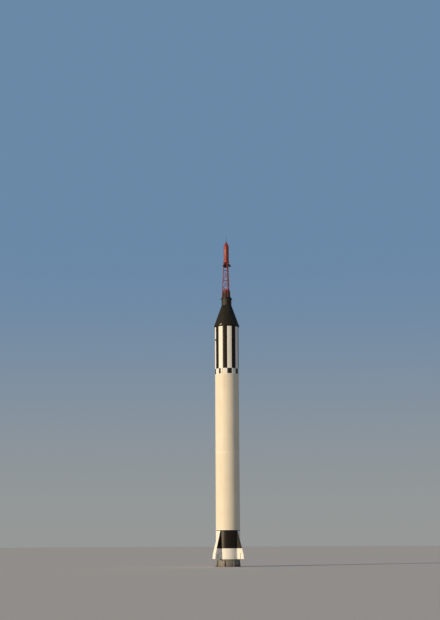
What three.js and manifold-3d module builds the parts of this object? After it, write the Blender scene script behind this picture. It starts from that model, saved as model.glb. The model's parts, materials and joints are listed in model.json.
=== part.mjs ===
// A single-stage crewed space rocket with a conical crew capsule and a lattice escape tower.
// Lengths are millimetres and +Z is up. The origin is the centre of the launch ring's underside.
// The four fins lie along -Y, +X, +Y and -X.

import * as THREE from 'three';
import { mergeVertices } from 'three/addons/utils/BufferGeometryUtils.js';
import Module from 'manifold-3d';

const wasm = await Module();
wasm.setup();

// Driving dimensions
const SEAT = 0.3; // gap that two touching pieces keep
const BODY_R = 889; // 70 inch body
const BODY_SIDES = 64;

const BASE_Z = 550; // top of the launch ring, bottom of the fins
const TAIL_TOP_Z = 2637;
const TANK_JOINT_Z = 8300;
const CHECK_Z = 14160;
const BAY_Z = 14560;
const ADAPTER_Z = 17430;
const CLAMP_Z = 17740;
const CABIN_Z = 17850;

const CAPSULE_R = 946; // 74.5 inch base
const CAPSULE_HALF_ANGLE = 20 * Math.PI / 180;
const NECK_R = 376;
const NECK_Z = CABIN_Z + (CAPSULE_R - NECK_R) / Math.tan(CAPSULE_HALF_ANGLE);
const RECOVERY_R = 370;
const RECOVERY_TOP_Z = 20040;
const CANISTER_TOP_Z = 20600;
const CAP_TOP_Z = 20685;

const MOTOR_R = 195;
const MOTOR_Z = 22870;
const SHOULDER_Z = 24040;
const NOSE_Z = 24450;
const SPIKE_Z = 24970;

const SKIRT_WALL = 30;
const VANE_AXIS_Z = 770; // radial shaft that carries a jet vane and its air rudder
const SHAFT_R = 34;
const SHAFT_SIDES = 16;
const SHAFT_PLAY = 0.95; // leaves a turning clearance between the flats of shaft and bore

const TOWER_TURN = -30.7 * Math.PI / 180; // direction of the tower's front leg
const SCANNER_TURN = 37.05; // degrees, direction of one of the two scanner housings

// Materials, one for each finish
const FINISHES = {
  white_paint: { color: 0xe9e4d6, roughness: 0.32, metalness: 0.0 },
  black_paint: { color: 0x15140f, roughness: 0.38, metalness: 0.0 },
  cabin_metal: { color: 0x1b1a15, roughness: 0.5, metalness: 0.6 },
  red_paint: { color: 0xb3262a, roughness: 0.42, metalness: 0.0 },
  grey_paint: { color: 0x8d918c, roughness: 0.55, metalness: 0.0 },
  steel: { color: 0x8b8b88, roughness: 0.35, metalness: 1.0 },
  nozzle_steel: { color: 0x5f5b56, roughness: 0.45, metalness: 1.0 },
  graphite: { color: 0x26262a, roughness: 0.7, metalness: 0.1 },
  heat_shield: { color: 0x9a958a, roughness: 0.6, metalness: 0.2 },
  couch_shell: { color: 0x6d7a5c, roughness: 0.7, metalness: 0.0 },
  panel_grey: { color: 0x5c6166, roughness: 0.6, metalness: 0.1 },
  glass: { color: 0x9fb4bd, roughness: 0.05, metalness: 0.0 },
};

const rocket = new THREE.Group();

function addPiece(parent, name, geometry, finish) {
  const mesh = new THREE.Mesh(geometry, new THREE.MeshStandardMaterial(FINISHES[finish]));
  mesh.name = name;
  parent.add(mesh);
  return mesh;
}

// Shared vertices merged, and triangles that shrank to a line left out
function closed(geometry) {
  const bare = geometry.clone();
  bare.deleteAttribute('normal');
  bare.deleteAttribute('uv');
  const merged = mergeVertices(bare, 0.001);
  const corners = merged.index.array;
  const kept = [];
  for (let i = 0; i < corners.length; i += 3) {
    const [a, b, c] = [corners[i], corners[i + 1], corners[i + 2]];
    if (a !== b && b !== c && c !== a) kept.push(a, b, c);
  }
  merged.setIndex(kept);
  return merged;
}

function toSolid(geometry) {
  const merged = closed(geometry);
  return new wasm.Manifold(new wasm.Mesh({
    numProp: 3,
    vertProperties: new Float32Array(merged.attributes.position.array),
    triVerts: new Uint32Array(merged.index.array),
  }));
}

function toGeometry(solid) {
  const mesh = solid.getMesh();
  const geometry = new THREE.BufferGeometry();
  const points = new Float32Array(mesh.numVert * 3);
  for (let i = 0; i < mesh.numVert; i += 1) {
    points.set(mesh.vertProperties.subarray(i * mesh.numProp, i * mesh.numProp + 3), i * 3);
  }
  geometry.setAttribute('position', new THREE.BufferAttribute(points, 3));
  geometry.setIndex(Array.from(mesh.triVerts));
  return geometry;
}

// A profile of [radius, height] pairs turned about the Z axis
function turned(profile, sides = BODY_SIDES) {
  const points = profile.map(([radius, height]) => new THREE.Vector2(radius, height));
  return closed(new THREE.LatheGeometry(points, sides).rotateX(Math.PI / 2));
}

// A solid of revolution between two heights, from the axis out
function turnedDisc(radius, low, high, sides = BODY_SIDES) {
  return turned([[0, low], [radius, low], [radius, high], [0, high]], sides);
}

// A tube or ring: the wall between an inner and an outer radius
function turnedRing(inner, outer, low, high, sides = BODY_SIDES) {
  return turned([[inner, low], [outer, low], [outer, high], [inner, high], [inner, low]], sides);
}

// A plate whose outline is in the X-Z plane, centred on Y = 0, with its edges chamfered
function plate(outline, thickness, chamfer) {
  const shape = new THREE.Shape(outline.map(([x, z]) => new THREE.Vector2(x, z)));
  const { across, inward } = chamfer;
  const geometry = new THREE.ExtrudeGeometry(shape, {
    depth: thickness - 2 * across,
    bevelEnabled: across > 0,
    bevelThickness: across,
    bevelSize: inward,
    bevelOffset: -inward,
    bevelSegments: 1,
  });
  return geometry.translate(0, 0, across - thickness / 2).rotateX(Math.PI / 2);
}

// A round bar from one point to another
function bar(from, to, radius, sides) {
  const start = new THREE.Vector3(...from);
  const end = new THREE.Vector3(...to);
  const along = end.clone().sub(start);
  const geometry = new THREE.CylinderGeometry(radius, radius, along.length(), sides);
  const turn = new THREE.Quaternion().setFromUnitVectors(new THREE.Vector3(0, 1, 0), along.normalize());
  const middle = start.add(end).multiplyScalar(0.5);
  return geometry.applyQuaternion(turn).translate(middle.x, middle.y, middle.z);
}

function block(low, high) {
  const size = high.map((value, i) => value - low[i]);
  const middle = high.map((value, i) => (value + low[i]) / 2);
  return new THREE.BoxGeometry(...size).translate(...middle);
}

// The launch ring is a rolled steel drum with a flange at each end and upright gussets around it
function launchRing() {
  const drum = { outer: 838, wall: 22 };
  const flange = { thickness: 36, inner: 790, topOuter: 905, footOuter: 960 };
  const gussets = { count: 8, thickness: 20, footReach: 945, topReach: 895 };
  const high = BASE_Z - SEAT;
  let ring = toSolid(turned([
    [flange.inner, 0], [flange.footOuter, 0], [flange.footOuter, flange.thickness],
    [drum.outer, flange.thickness], [drum.outer, high - flange.thickness],
    [flange.topOuter, high - flange.thickness], [flange.topOuter, high], [flange.inner, high],
    [flange.inner, high - flange.thickness], [drum.outer - drum.wall, high - flange.thickness],
    [drum.outer - drum.wall, flange.thickness], [flange.inner, flange.thickness], [flange.inner, 0],
  ], 48));
  const gusset = toSolid(plate([
    [drum.outer - 10, flange.thickness - 10], [gussets.footReach, flange.thickness - 10],
    [gussets.footReach, flange.thickness + 30], [gussets.topReach, high - flange.thickness - 30],
    [gussets.topReach, high - flange.thickness + 10], [drum.outer - 10, high - flange.thickness + 10],
  ], gussets.thickness, { across: 0, inward: 0 }));
  for (let i = 0; i < gussets.count; i += 1) {
    ring = ring.add(gusset.rotate([0, 0, (i + 0.5) * 360 / gussets.count]));
  }
  return toGeometry(ring);
}

// The tail skirt is a tube with an inward foot flange, a shallow groove at the tank joint and
// four holes for the vane shafts
function tailSkirt() {
  const inner = BODY_R - SKIRT_WALL;
  const foot = { inner: 815, thickness: 30 };
  const groove = { depth: 8, height: 16 };
  const hole = 42;
  const low = BASE_Z;
  const high = TAIL_TOP_Z - SEAT;
  let skirt = toSolid(turned([
    [foot.inner, low], [BODY_R, low], [BODY_R, high - groove.height],
    [BODY_R - groove.depth, high - groove.height], [BODY_R - groove.depth, high], [inner, high],
    [inner, low + foot.thickness], [foot.inner, low + foot.thickness], [foot.inner, low],
  ]));
  for (const [x, y] of [[1, 0], [0, 1]]) {
    const reach = BODY_R + 50;
    const from = [-x * reach, -y * reach, VANE_AXIS_Z];
    skirt = skirt.subtract(toSolid(bar(from, [x * reach, y * reach, VANE_AXIS_Z], hole, SHAFT_SIDES)));
  }
  return toGeometry(skirt);
}

// The engine's bell, an open shell from the chamber's foot to the exit lip
const NOZZLE = { exitR: 365, exitZ: 930, throatR: 150, throatZ: 1700, wall: 16 };

function bellRadius(height) {
  const share = (NOZZLE.throatZ - height) / (NOZZLE.throatZ - NOZZLE.exitZ);
  return NOZZLE.throatR + (NOZZLE.exitR - NOZZLE.throatR) * share ** 0.72;
}

function engineNozzle() {
  const steps = 5;
  const inside = [];
  for (let i = 0; i <= steps; i += 1) {
    const height = NOZZLE.throatZ + (NOZZLE.exitZ - NOZZLE.throatZ) * (i / steps) ** 1.5;
    inside.push([bellRadius(height), height]);
  }
  const outside = inside.map(([radius, height]) => [radius + NOZZLE.wall, height]).reverse();
  return turned([...inside, ...outside, inside[0]], 32);
}

// The heat shield closes the tail around the bell
const SHIELD = { low: 1180, high: 1210 };
const DUCT = { x: -470, y: 470, r: 85, wall: 8 };

function tailHeatShield() {
  const bell = bellRadius(SHIELD.low) + NOZZLE.wall + 2;
  const disc = toSolid(turnedRing(bell, BODY_R - SKIRT_WALL - SEAT, SHIELD.low, SHIELD.high));
  const duct = bar([DUCT.x, DUCT.y, SHIELD.low - 50], [DUCT.x, DUCT.y, SHIELD.high + 50], DUCT.r + SEAT, 24);
  return toGeometry(disc.subtract(toSolid(duct)));
}

// The pump's exhaust pipe comes down through the heat shield and ends in a slanted mouth
function exhaustDuct() {
  const low = 690;
  const high = SHIELD.high + 60;
  const outer = toSolid(bar([0, 0, low], [0, 0, high], DUCT.r, 24));
  const bore = toSolid(bar([0, 0, low - 50], [0, 0, high - 20], DUCT.r - DUCT.wall, 24));
  const slant = new THREE.BoxGeometry(600, 600, 200).rotateY(0.5).translate(0, 0, low - 60);
  return toGeometry(outer.subtract(bore).subtract(toSolid(slant)));
}

// The chamber and pump are one plain block between the bell and the tank
function engineBlock() {
  return turned([
    [0, NOZZLE.throatZ + SEAT], [NOZZLE.throatR + 40, NOZZLE.throatZ + SEAT], [300, NOZZLE.throatZ + 220],
    [300, TAIL_TOP_Z - SEAT], [0, TAIL_TOP_Z - SEAT],
  ], 32);
}

// A fin: a thick tapered plate with a wedge edge, a pocket for the rudder and a bore for its shaft
const FIN = {
  rootT: 150, tipT: 96, wedge: 110, edge: 16,
  outline: [[840, 2720], [1436, 967], [1468, 480], [840, 480]],
};
const RUDDER = { inner: 1180, top: 965, foot: 562, thickness: 62, pocketGap: 8, topGap: 14 };

function fin() {
  const { rootT, tipT, wedge, edge, outline } = FIN;
  const geometry = closed(plate(outline, rootT, { across: (rootT - edge) / 2, inward: wedge }));
  const points = geometry.attributes.position;
  const tipR = outline[2][0];
  for (let i = 0; i < points.count; i += 1) {
    const share = (points.getX(i) - BODY_R) / (tipR - BODY_R);
    points.setY(i, points.getY(i) * (1 - (1 - tipT / rootT) * share));
  }
  const far = 2000;
  const reach = BODY_R + SEAT;
  const below = block([0, -far, 0], [far, far, BASE_Z]);
  const above = block([0, -far, TAIL_TOP_Z - 25], [far, far, 2 * far]);
  const pocket = block([RUDDER.inner - RUDDER.pocketGap, -far, 0], [far, far, RUDDER.top + RUDDER.topGap]);
  const bore = bar([BODY_R - 100, 0, VANE_AXIS_Z], [far, 0, VANE_AXIS_Z], SHAFT_R + SHAFT_PLAY, SHAFT_SIDES);
  return toGeometry([below, above, pocket, bore, turnedDisc(reach, 0, 4000)]
    .map(toSolid).reduce((left, cut) => left.subtract(cut), toSolid(geometry)));
}

// An air rudder, an all-moving tip on the fin's lower outer corner
function rudder() {
  const { inner, top, foot, thickness } = RUDDER;
  const outline = [[inner, foot], [1492, foot], [1438, top], [inner, top]];
  return plate(outline, thickness, { across: (thickness - 14) / 2, inward: 52 });
}

// A jet vane, a graphite blade in the exhaust, and the steel shaft that turns it with the rudder
const VANE = { inner: 112, outer: 366, half: 128, thickness: 46 };

function jetVane() {
  const { inner, outer, half, thickness } = VANE;
  const outline = [
    [inner, VANE_AXIS_Z - half], [outer, VANE_AXIS_Z - half],
    [outer, VANE_AXIS_Z + half], [inner + 40, VANE_AXIS_Z + half],
  ];
  return plate(outline, thickness, { across: (thickness - 12) / 2, inward: 34 });
}

function vaneShaft() {
  const start = VANE.outer + SEAT;
  const holder = { length: 60, radius: 62 };
  const from = [start, 0, VANE_AXIS_Z];
  const rod = bar(from, [RUDDER.inner - SEAT, 0, VANE_AXIS_Z], SHAFT_R, SHAFT_SIDES);
  const cup = bar(from, [start + holder.length, 0, VANE_AXIS_Z], holder.radius, SHAFT_SIDES);
  return toGeometry(toSolid(rod).add(toSolid(cup)));
}

// The cable raceway is a shallow trunk down the tanks on the side away from the hatch
function cableRaceway() {
  const trunk = { half: 55, height: 48, low: TAIL_TOP_Z + 120, high: CHECK_Z - 120, taper: 90 };
  const outline = [
    [BODY_R - 20, trunk.low], [BODY_R + 2, trunk.low], [BODY_R + trunk.height, trunk.low + trunk.taper],
    [BODY_R + trunk.height, trunk.high - trunk.taper], [BODY_R + 2, trunk.high], [BODY_R - 20, trunk.high],
  ];
  const solid = toSolid(plate(outline, 2 * trunk.half, { across: 0, inward: 0 }));
  return toGeometry(solid.subtract(toSolid(turnedDisc(BODY_R + SEAT, TAIL_TOP_Z, BAY_Z))));
}

// The cabin is a hollow cone with a floor and a roof, a stepped opening for the hatch and a window
const CABIN = { wall: 62, floor: 70, roof: 45, hatchDepth: 40 };
const HATCH = {
  lowZ: CABIN_Z + 255, highZ: CABIN_Z + 935, lowHalf: 290, highHalf: 215, gap: 5, sill: 34,
};
const WINDOW = {
  lowZ: CABIN_Z + 915, highZ: CABIN_Z + 1155, lowHalf: 130, highHalf: 95, thickness: 18, sill: 10,
};

function coneRadius(height) {
  return CAPSULE_R - (height - CABIN_Z) * Math.tan(CAPSULE_HALF_ANGLE);
}

// A wedge-shaped cutter through the cone's -X side: a trapezoid pushed along the wall's normal,
// grown on every side by the margin
function wallCutter(opening, margin) {
  const { lowZ, highZ, lowHalf, highHalf } = opening;
  const slope = Math.cos(CAPSULE_HALF_ANGLE);
  const middle = (lowZ + highZ) / 2;
  const half = (highZ - lowZ) / 2 / slope + margin;
  const shape = new THREE.Shape([
    new THREE.Vector2(-lowHalf - margin, -half), new THREE.Vector2(lowHalf + margin, -half),
    new THREE.Vector2(highHalf + margin, half), new THREE.Vector2(-highHalf - margin, half),
  ]);
  const deep = 420;
  return new THREE.ExtrudeGeometry(shape, { depth: 2 * deep, bevelEnabled: false })
    .translate(0, 0, -deep).rotateX(Math.PI / 2).rotateZ(-Math.PI / 2)
    .rotateY(CAPSULE_HALF_ANGLE).translate(-coneRadius(middle), 0, middle);
}

// The layer of the cone's wall from its outside face to a depth, a little proud of the outside
function wallLayer(depth, proud) {
  const out = proud / Math.cos(CAPSULE_HALF_ANGLE);
  const into = depth / Math.cos(CAPSULE_HALF_ANGLE);
  const [low, high] = [CABIN_Z - 60, NECK_Z + 60];
  return toSolid(turned([
    [coneRadius(low) - into, low], [coneRadius(low) + out, low],
    [coneRadius(high) + out, high], [coneRadius(high) - into, high], [coneRadius(low) - into, low],
  ]));
}

function cabinShell() {
  const into = CABIN.wall / Math.cos(CAPSULE_HALF_ANGLE);
  const floor = CABIN_Z + CABIN.floor;
  const roof = NECK_Z - CABIN.roof;
  const outside = toSolid(turned([[0, CABIN_Z], [CAPSULE_R, CABIN_Z], [NECK_R, NECK_Z], [0, NECK_Z]]));
  const hollow = toSolid(turned([
    [0, floor], [coneRadius(floor) - into, floor], [coneRadius(roof) - into, roof], [0, roof],
  ]));
  const rebate = toSolid(wallCutter(HATCH, 0)).intersect(wallLayer(CABIN.hatchDepth + SEAT, 40));
  const doorway = nearSide(toSolid(wallCutter(HATCH, -HATCH.sill)));
  const windowCut = nearSide(toSolid(wallCutter(WINDOW, 0))).rotate([0, 0, -90]);
  return outside.subtract(hollow).subtract(nearSide(rebate)).subtract(doorway).subtract(windowCut);
}

// The half of a cutter that is on the -X side
function nearSide(solid) {
  return solid.intersect(toSolid(block([-3000, -3000, 0], [-60, 3000, 40000])));
}

function hatch() {
  const cutter = toSolid(wallCutter(HATCH, -HATCH.gap));
  return toGeometry(nearSide(cutter.intersect(wallLayer(CABIN.hatchDepth, 0))));
}

function windowPane() {
  const cutter = toSolid(wallCutter(WINDOW, -SEAT));
  const inset = wallLayer(WINDOW.sill + WINDOW.thickness, -WINDOW.sill);
  return toGeometry(nearSide(cutter.intersect(inset)).rotate([0, 0, -90]));
}

// The couch: a moulded shell for someone lying on their back with their knees raised
function couch() {
  const floor = CABIN_Z + CABIN.floor + SEAT;
  const outline = [
    [-560, floor], [470, floor], [470, floor + 420], [400, floor + 420], [330, floor + 130],
    [120, floor + 95], [-300, floor + 80], [-470, floor + 100], [-520, floor + 190], [-560, floor + 190],
  ];
  return plate(outline, 470, { across: 0, inward: 0 });
}

// The instrument panel: a shelf across the top of the cabin, cut back so that the couch is clear
function instrumentPanel() {
  const low = CABIN_Z + 1165;
  const high = low + 40;
  const into = CABIN.wall / Math.cos(CAPSULE_HALF_ANGLE) + 0.5;
  const disc = toSolid(turned([
    [0, low], [coneRadius(low) - into, low], [coneRadius(high) - into, high], [0, high],
  ]));
  return toGeometry(disc.intersect(toSolid(block([-140, -900, low - 1], [900, 900, high + 1]))));
}

// The escape tower: three legs that lean in, cross bars, diagonals, a foot ring and a head ring.
// The lowest bay has no diagonals, because the antenna canister stands in it.
const TOWER = {
  footZ: RECOVERY_TOP_Z + SEAT, footR: 340, topR: 190, topZ: MOTOR_Z - 40,
  legR: 30, barR: 20, diagonalR: 15,
  levels: [20110, 20745, 21410, 22200],
  footRing: { inner: 308, outer: 372, height: 60 },
  headRing: { inner: 166, outer: 222, height: 40 },
};

function legPoint(leg, height) {
  const share = (height - TOWER.footZ) / (TOWER.topZ - TOWER.footZ);
  const radius = TOWER.footR + (TOWER.topR - TOWER.footR) * share;
  const angle = 120 * leg * Math.PI / 180;
  return [radius * Math.cos(angle), radius * Math.sin(angle), height];
}

function escapeTower() {
  const { footZ, topZ, legR, barR, diagonalR, levels, footRing, headRing } = TOWER;
  let tower = toSolid(turnedRing(footRing.inner, footRing.outer, footZ, footZ + footRing.height, 30));
  tower = tower.add(toSolid(turnedRing(headRing.inner, headRing.outer, topZ - headRing.height, topZ, 30)));
  for (let leg = 0; leg < 3; leg += 1) {
    tower = tower.add(toSolid(bar(legPoint(leg, footZ + 5), legPoint(leg, topZ - 5), legR, 8)));
    for (let i = 0; i < levels.length; i += 1) {
      const next = (leg + 1) % 3;
      if (i > 0) {
        tower = tower.add(toSolid(bar(legPoint(leg, levels[i]), legPoint(next, levels[i]), barR, 6)));
      }
      if (i > 0 && i < levels.length - 1) {
        const [low, high] = [levels[i] + 20, levels[i + 1] - 20];
        tower = tower.add(toSolid(bar(legPoint(leg, low), legPoint(next, high), diagonalR, 6)));
        tower = tower.add(toSolid(bar(legPoint(next, low), legPoint(leg, high), diagonalR, 6)));
      }
    }
  }
  return toGeometry(tower);
}

// The escape motor's nozzle block: a plate with three bells that point down and outwards
const BELL = { throatR: 46, exitR: 94, wall: 10, length: 400, startR: 84, cant: 31 };
const COVER_R = 148; // the motor's aft cover, inside its skirt

function nozzleBlock() {
  const low = MOTOR_Z - 40 + SEAT;
  const cover = toSolid(turnedDisc(COVER_R, low - 30, MOTOR_Z - SEAT, 36));
  const outer = toSolid(turned([
    [0, -BELL.length], [BELL.exitR, -BELL.length], [BELL.exitR - 8, -BELL.length + 20],
    [BELL.throatR, -70], [BELL.throatR + 16, 0], [0, 0],
  ], 20));
  const inner = toSolid(turned([
    [0, -BELL.length - 30], [BELL.exitR - BELL.wall, -BELL.length - 30],
    [BELL.exitR - BELL.wall, -BELL.length], [BELL.throatR - BELL.wall, -70], [0, -60],
  ], 20));
  let cluster = cover;
  for (const turn of [60, 180, 300]) {
    const place = (solid) => solid.rotate([0, -BELL.cant, 0]).translate([BELL.startR, 0, low - 5])
      .rotate([0, 0, turn]);
    cluster = cluster.add(place(outer)).subtract(place(inner));
  }
  const socket = turnedDisc(JETTISON.r + SEAT, low - 200, low - 10, 24);
  return toGeometry(cluster.subtract(toSolid(socket)));
}

// The small jettison motor hangs in the middle of the nozzle block
const JETTISON = { r: 62, length: 430 };

function jettisonMotor() {
  const top = MOTOR_Z - 40 - 10;
  const low = top - JETTISON.length;
  return turned([
    [0, low + 60], [22, low + 60], [44, low], [52, low], [30, low + 80], [JETTISON.r, low + 110],
    [JETTISON.r, top], [0, top],
  ], 24);
}

// The antenna canister is a short taper that stands inside the tower's foot
const CANISTER = { footR: 300, footHeight: 60, shoulderR: 272, topR: 260, shoulder: 45, capR: 236 };

function antennaCanister() {
  const low = RECOVERY_TOP_Z + SEAT;
  const { footR, footHeight, shoulderR, topR, shoulder } = CANISTER;
  return turned([
    [0, low], [footR, low], [footR, low + footHeight], [shoulderR, CANISTER_TOP_Z - shoulder],
    [topR, CANISTER_TOP_Z], [0, CANISTER_TOP_Z],
  ], 40);
}

// A low red cap closes the canister
function canisterCap() {
  const low = CANISTER_TOP_Z + SEAT;
  return turned([
    [0, low], [CANISTER.capR, low], [CANISTER.capR, low + 45], [CANISTER.capR - 40, CAP_TOP_Z],
    [0, CAP_TOP_Z],
  ], 40);
}

// The recovery cylinder holds the parachutes. A flange round its top carries the tower, with a small
// scanner housing under it on each side
const FLANGE = { r: 388, height: 70, slope: 30 };

function recoveryCylinder() {
  const flangeZ = RECOVERY_TOP_Z - FLANGE.height;
  const body = toSolid(turned([
    [0, NECK_Z + SEAT], [NECK_R, NECK_Z + SEAT], [RECOVERY_R, NECK_Z + 25],
    [RECOVERY_R, flangeZ - FLANGE.slope], [FLANGE.r, flangeZ],
    [FLANGE.r, RECOVERY_TOP_Z], [0, RECOVERY_TOP_Z],
  ], 48));
  const reach = 425;
  const housing = toSolid(block([-reach, -45, flangeZ - 70], [reach, 45, flangeZ + 10]));
  return toGeometry(body.add(housing.rotate([0, 0, SCANNER_TURN])));
}

addPiece(rocket, 'launch_ring', launchRing(), 'grey_paint');
addPiece(rocket, 'tail_skirt', tailSkirt(), 'white_paint');
addPiece(rocket, 'tail_heat_shield', tailHeatShield(), 'heat_shield');
addPiece(rocket, 'engine_nozzle', engineNozzle(), 'nozzle_steel');
addPiece(rocket, 'engine_block', engineBlock(), 'steel');
addPiece(rocket, 'exhaust_duct', exhaustDuct(), 'nozzle_steel').position.set(DUCT.x, DUCT.y, 0);

for (const [side, degrees] of [['south', -90], ['east', 0], ['north', 90], ['west', 180]]) {
  const quarter = new THREE.Group();
  quarter.rotation.z = degrees * Math.PI / 180;
  rocket.add(quarter);
  addPiece(quarter, `fin_${side}`, fin(), 'white_paint');
  addPiece(quarter, `rudder_${side}`, closed(rudder()), 'white_paint');
  addPiece(quarter, `vane_shaft_${side}`, vaneShaft(), 'steel');
  addPiece(quarter, `jet_vane_${side}`, closed(jetVane()), 'graphite');
}

const SECTIONS = [ // name, low height, high height, finish
  ['lower_tank', TAIL_TOP_Z, TANK_JOINT_Z - SEAT, 'white_paint'],
  ['upper_tank', TANK_JOINT_Z, CHECK_Z - SEAT, 'white_paint'],
  ['check_ring', CHECK_Z, BAY_Z - SEAT, 'black_paint'],
  ['instrument_bay', BAY_Z, ADAPTER_Z - SEAT, 'white_paint'],
  ['adapter_ring', ADAPTER_Z, CLAMP_Z - SEAT, 'white_paint'],
];
for (const [name, low, high, finish] of SECTIONS) {
  addPiece(rocket, name, turnedDisc(BODY_R, low, high), finish);
}
addPiece(rocket, 'cable_raceway', cableRaceway(), 'white_paint').rotation.z = Math.PI * 0.625;
addPiece(rocket, 'clamp_ring', turned([
  [0, CLAMP_Z], [BODY_R + 8, CLAMP_Z], [BODY_R + 8, CLAMP_Z + 34], [CAPSULE_R + 4, CLAMP_Z + 70],
  [CAPSULE_R + 4, CABIN_Z - SEAT], [0, CABIN_Z - SEAT],
]), 'black_paint');

addPiece(rocket, 'cabin_shell', toGeometry(cabinShell()), 'cabin_metal');
addPiece(rocket, 'hatch', hatch(), 'cabin_metal');
addPiece(rocket, 'window_pane', windowPane(), 'glass');
addPiece(rocket, 'couch', closed(couch()), 'couch_shell');
addPiece(rocket, 'instrument_panel', instrumentPanel(), 'panel_grey');
addPiece(rocket, 'recovery_cylinder', recoveryCylinder(), 'cabin_metal');
addPiece(rocket, 'antenna_canister', antennaCanister(), 'black_paint');
addPiece(rocket, 'canister_cap', canisterCap(), 'red_paint');

const escape = new THREE.Group();
escape.rotation.z = TOWER_TURN;
rocket.add(escape);
addPiece(escape, 'escape_tower', escapeTower(), 'red_paint');
addPiece(escape, 'nozzle_block', nozzleBlock(), 'red_paint');
addPiece(escape, 'jettison_motor', jettisonMotor(), 'red_paint');
addPiece(escape, 'escape_motor', turned([
  [0, MOTOR_Z], [COVER_R + 2, MOTOR_Z], [COVER_R + 2, TOWER.topZ + SEAT], [MOTOR_R + 14, TOWER.topZ + SEAT],
  [MOTOR_R + 14, MOTOR_Z + 30], [MOTOR_R, MOTOR_Z + 44], [MOTOR_R, SHOULDER_Z - SEAT], [0, SHOULDER_Z - SEAT],
], 40), 'red_paint');
addPiece(escape, 'nose_cone', turned([
  [0, SHOULDER_Z], [MOTOR_R, SHOULDER_Z], [MOTOR_R * 0.62, SHOULDER_Z + 190],
  [24, NOSE_Z - SEAT], [0, NOSE_Z - SEAT],
], 40), 'red_paint');
addPiece(escape, 'spike', turned([
  [0, NOSE_Z], [18, NOSE_Z], [18, NOSE_Z + 40], [11, NOSE_Z + 70], [4, SPIKE_Z], [0, SPIKE_Z],
], 12), 'steel');

export default rocket;
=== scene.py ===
import json
import math

import bmesh
import bpy
import numpy as np
from mathutils import Matrix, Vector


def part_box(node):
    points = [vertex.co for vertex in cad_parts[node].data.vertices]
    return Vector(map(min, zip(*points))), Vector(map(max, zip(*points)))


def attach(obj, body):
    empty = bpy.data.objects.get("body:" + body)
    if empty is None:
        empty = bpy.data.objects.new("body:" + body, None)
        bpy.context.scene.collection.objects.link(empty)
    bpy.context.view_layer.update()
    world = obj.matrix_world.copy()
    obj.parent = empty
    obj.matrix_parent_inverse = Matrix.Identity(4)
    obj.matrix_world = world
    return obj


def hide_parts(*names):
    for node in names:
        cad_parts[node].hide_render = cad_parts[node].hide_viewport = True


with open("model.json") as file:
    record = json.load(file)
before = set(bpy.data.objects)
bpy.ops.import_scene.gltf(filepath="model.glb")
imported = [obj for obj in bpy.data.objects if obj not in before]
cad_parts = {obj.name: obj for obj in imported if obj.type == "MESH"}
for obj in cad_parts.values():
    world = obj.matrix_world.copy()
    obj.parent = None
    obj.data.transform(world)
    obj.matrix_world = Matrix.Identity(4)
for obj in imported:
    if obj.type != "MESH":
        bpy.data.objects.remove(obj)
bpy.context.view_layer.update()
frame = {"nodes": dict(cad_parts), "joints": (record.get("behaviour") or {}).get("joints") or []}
nodes = frame["nodes"]


# The camera stands at a visitor's eye height some ninety metres away, and looks up past the
# rocket's middle through a long lens. The picture leans by less than half a degree.
picture_height = 620                # pixels
focal_length = 1232.0               # pixels
camera_distance = 92.0              # metres from the rocket's axis
eye_height = 1.6
camera_azimuth = 39.3               # degrees round from -Y towards +X
camera_climb = 10.781
camera_yaw = 0.31                   # leaves the rocket a little right of the middle
camera_lean = -0.31

azimuth = math.radians(camera_azimuth)
camera_data = bpy.data.cameras.new("camera")
camera_data.sensor_width = 36.0
camera_data.lens = focal_length / picture_height * camera_data.sensor_width
camera_data.clip_end = 2000.0
camera = bpy.data.objects.new("camera", camera_data)
camera.matrix_world = (
    Matrix.Translation((camera_distance * math.sin(azimuth), -camera_distance * math.cos(azimuth), eye_height))
    @ Matrix.Rotation(azimuth + math.radians(camera_yaw), 4, "Z")
    @ Matrix.Rotation(math.radians(90 + camera_climb), 4, "X")
    @ Matrix.Rotation(math.radians(camera_lean), 4, "Z")
)
bpy.context.scene.collection.objects.link(camera)
bpy.context.scene.camera = camera


# The floor is one pale sheet, the backdrop a soft grey blue that lightens towards the floor, and the
# key light is a large warm lamp low on the left. Nothing here is part of the rocket.
floor_reach = 700.0
floor_colour = (0.70, 0.665, 0.605, 1.0)
haze_colour, sky_top = (0.30, 0.315, 0.31, 1.0), (0.145, 0.250, 0.390, 1.0)
fill_low, fill_high = (0.275, 0.275, 0.265, 1.0), (0.138, 0.19, 0.275, 1.0)
key_azimuth = camera_azimuth - 53.0
key_height = 12.0                   # degrees above the floor
key_softness = 5.0                  # degrees across
key_colour = (1.0, 0.785, 0.52)
key_strength = 3.7


def connect(tree, node, values):
    """Fills a node's inputs: another node's socket is linked, and anything else is written there."""
    for key, value in values.items():
        if isinstance(value, bpy.types.NodeSocket):
            tree.links.new(value, node.inputs[key])
        else:
            node.inputs[key].default_value = value


def add_node(tree, kind, values=None, **settings):
    """One node of a tree. Settings are its own properties, and values go to its inputs."""
    node = tree.nodes.new(kind)
    for name, value in settings.items():
        setattr(node, name, value)
    connect(tree, node, values or {})
    return node


def mixed(tree, share, first, second):
    """The result socket of one colour mix."""
    return add_node(tree, "ShaderNodeMix", {0: share, 6: first, 7: second}, data_type="RGBA").outputs[2]


def new_finish(name):
    """A material with its tree and its shader."""
    finish = bpy.data.materials.new(name)
    finish.use_nodes = True
    return finish, finish.node_tree, finish.node_tree.nodes["Principled BSDF"]


floor_mesh = bpy.data.meshes.new("floor")
corners = [(x * floor_reach, y * floor_reach, 0.0) for x, y in ((-1, -1), (1, -1), (1, 1), (-1, 1))]
floor_mesh.from_pydata(corners, [], [(0, 1, 2, 3)])
floor = bpy.data.objects.new("floor", floor_mesh)
bpy.context.scene.collection.objects.link(floor)
floor_finish, floor_tree, floor_shader = new_finish("pale_floor")
connect(floor_tree, floor_shader, {"Base Color": floor_colour, "Roughness": 0.9})
floor_mesh.materials.append(floor_finish)

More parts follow.
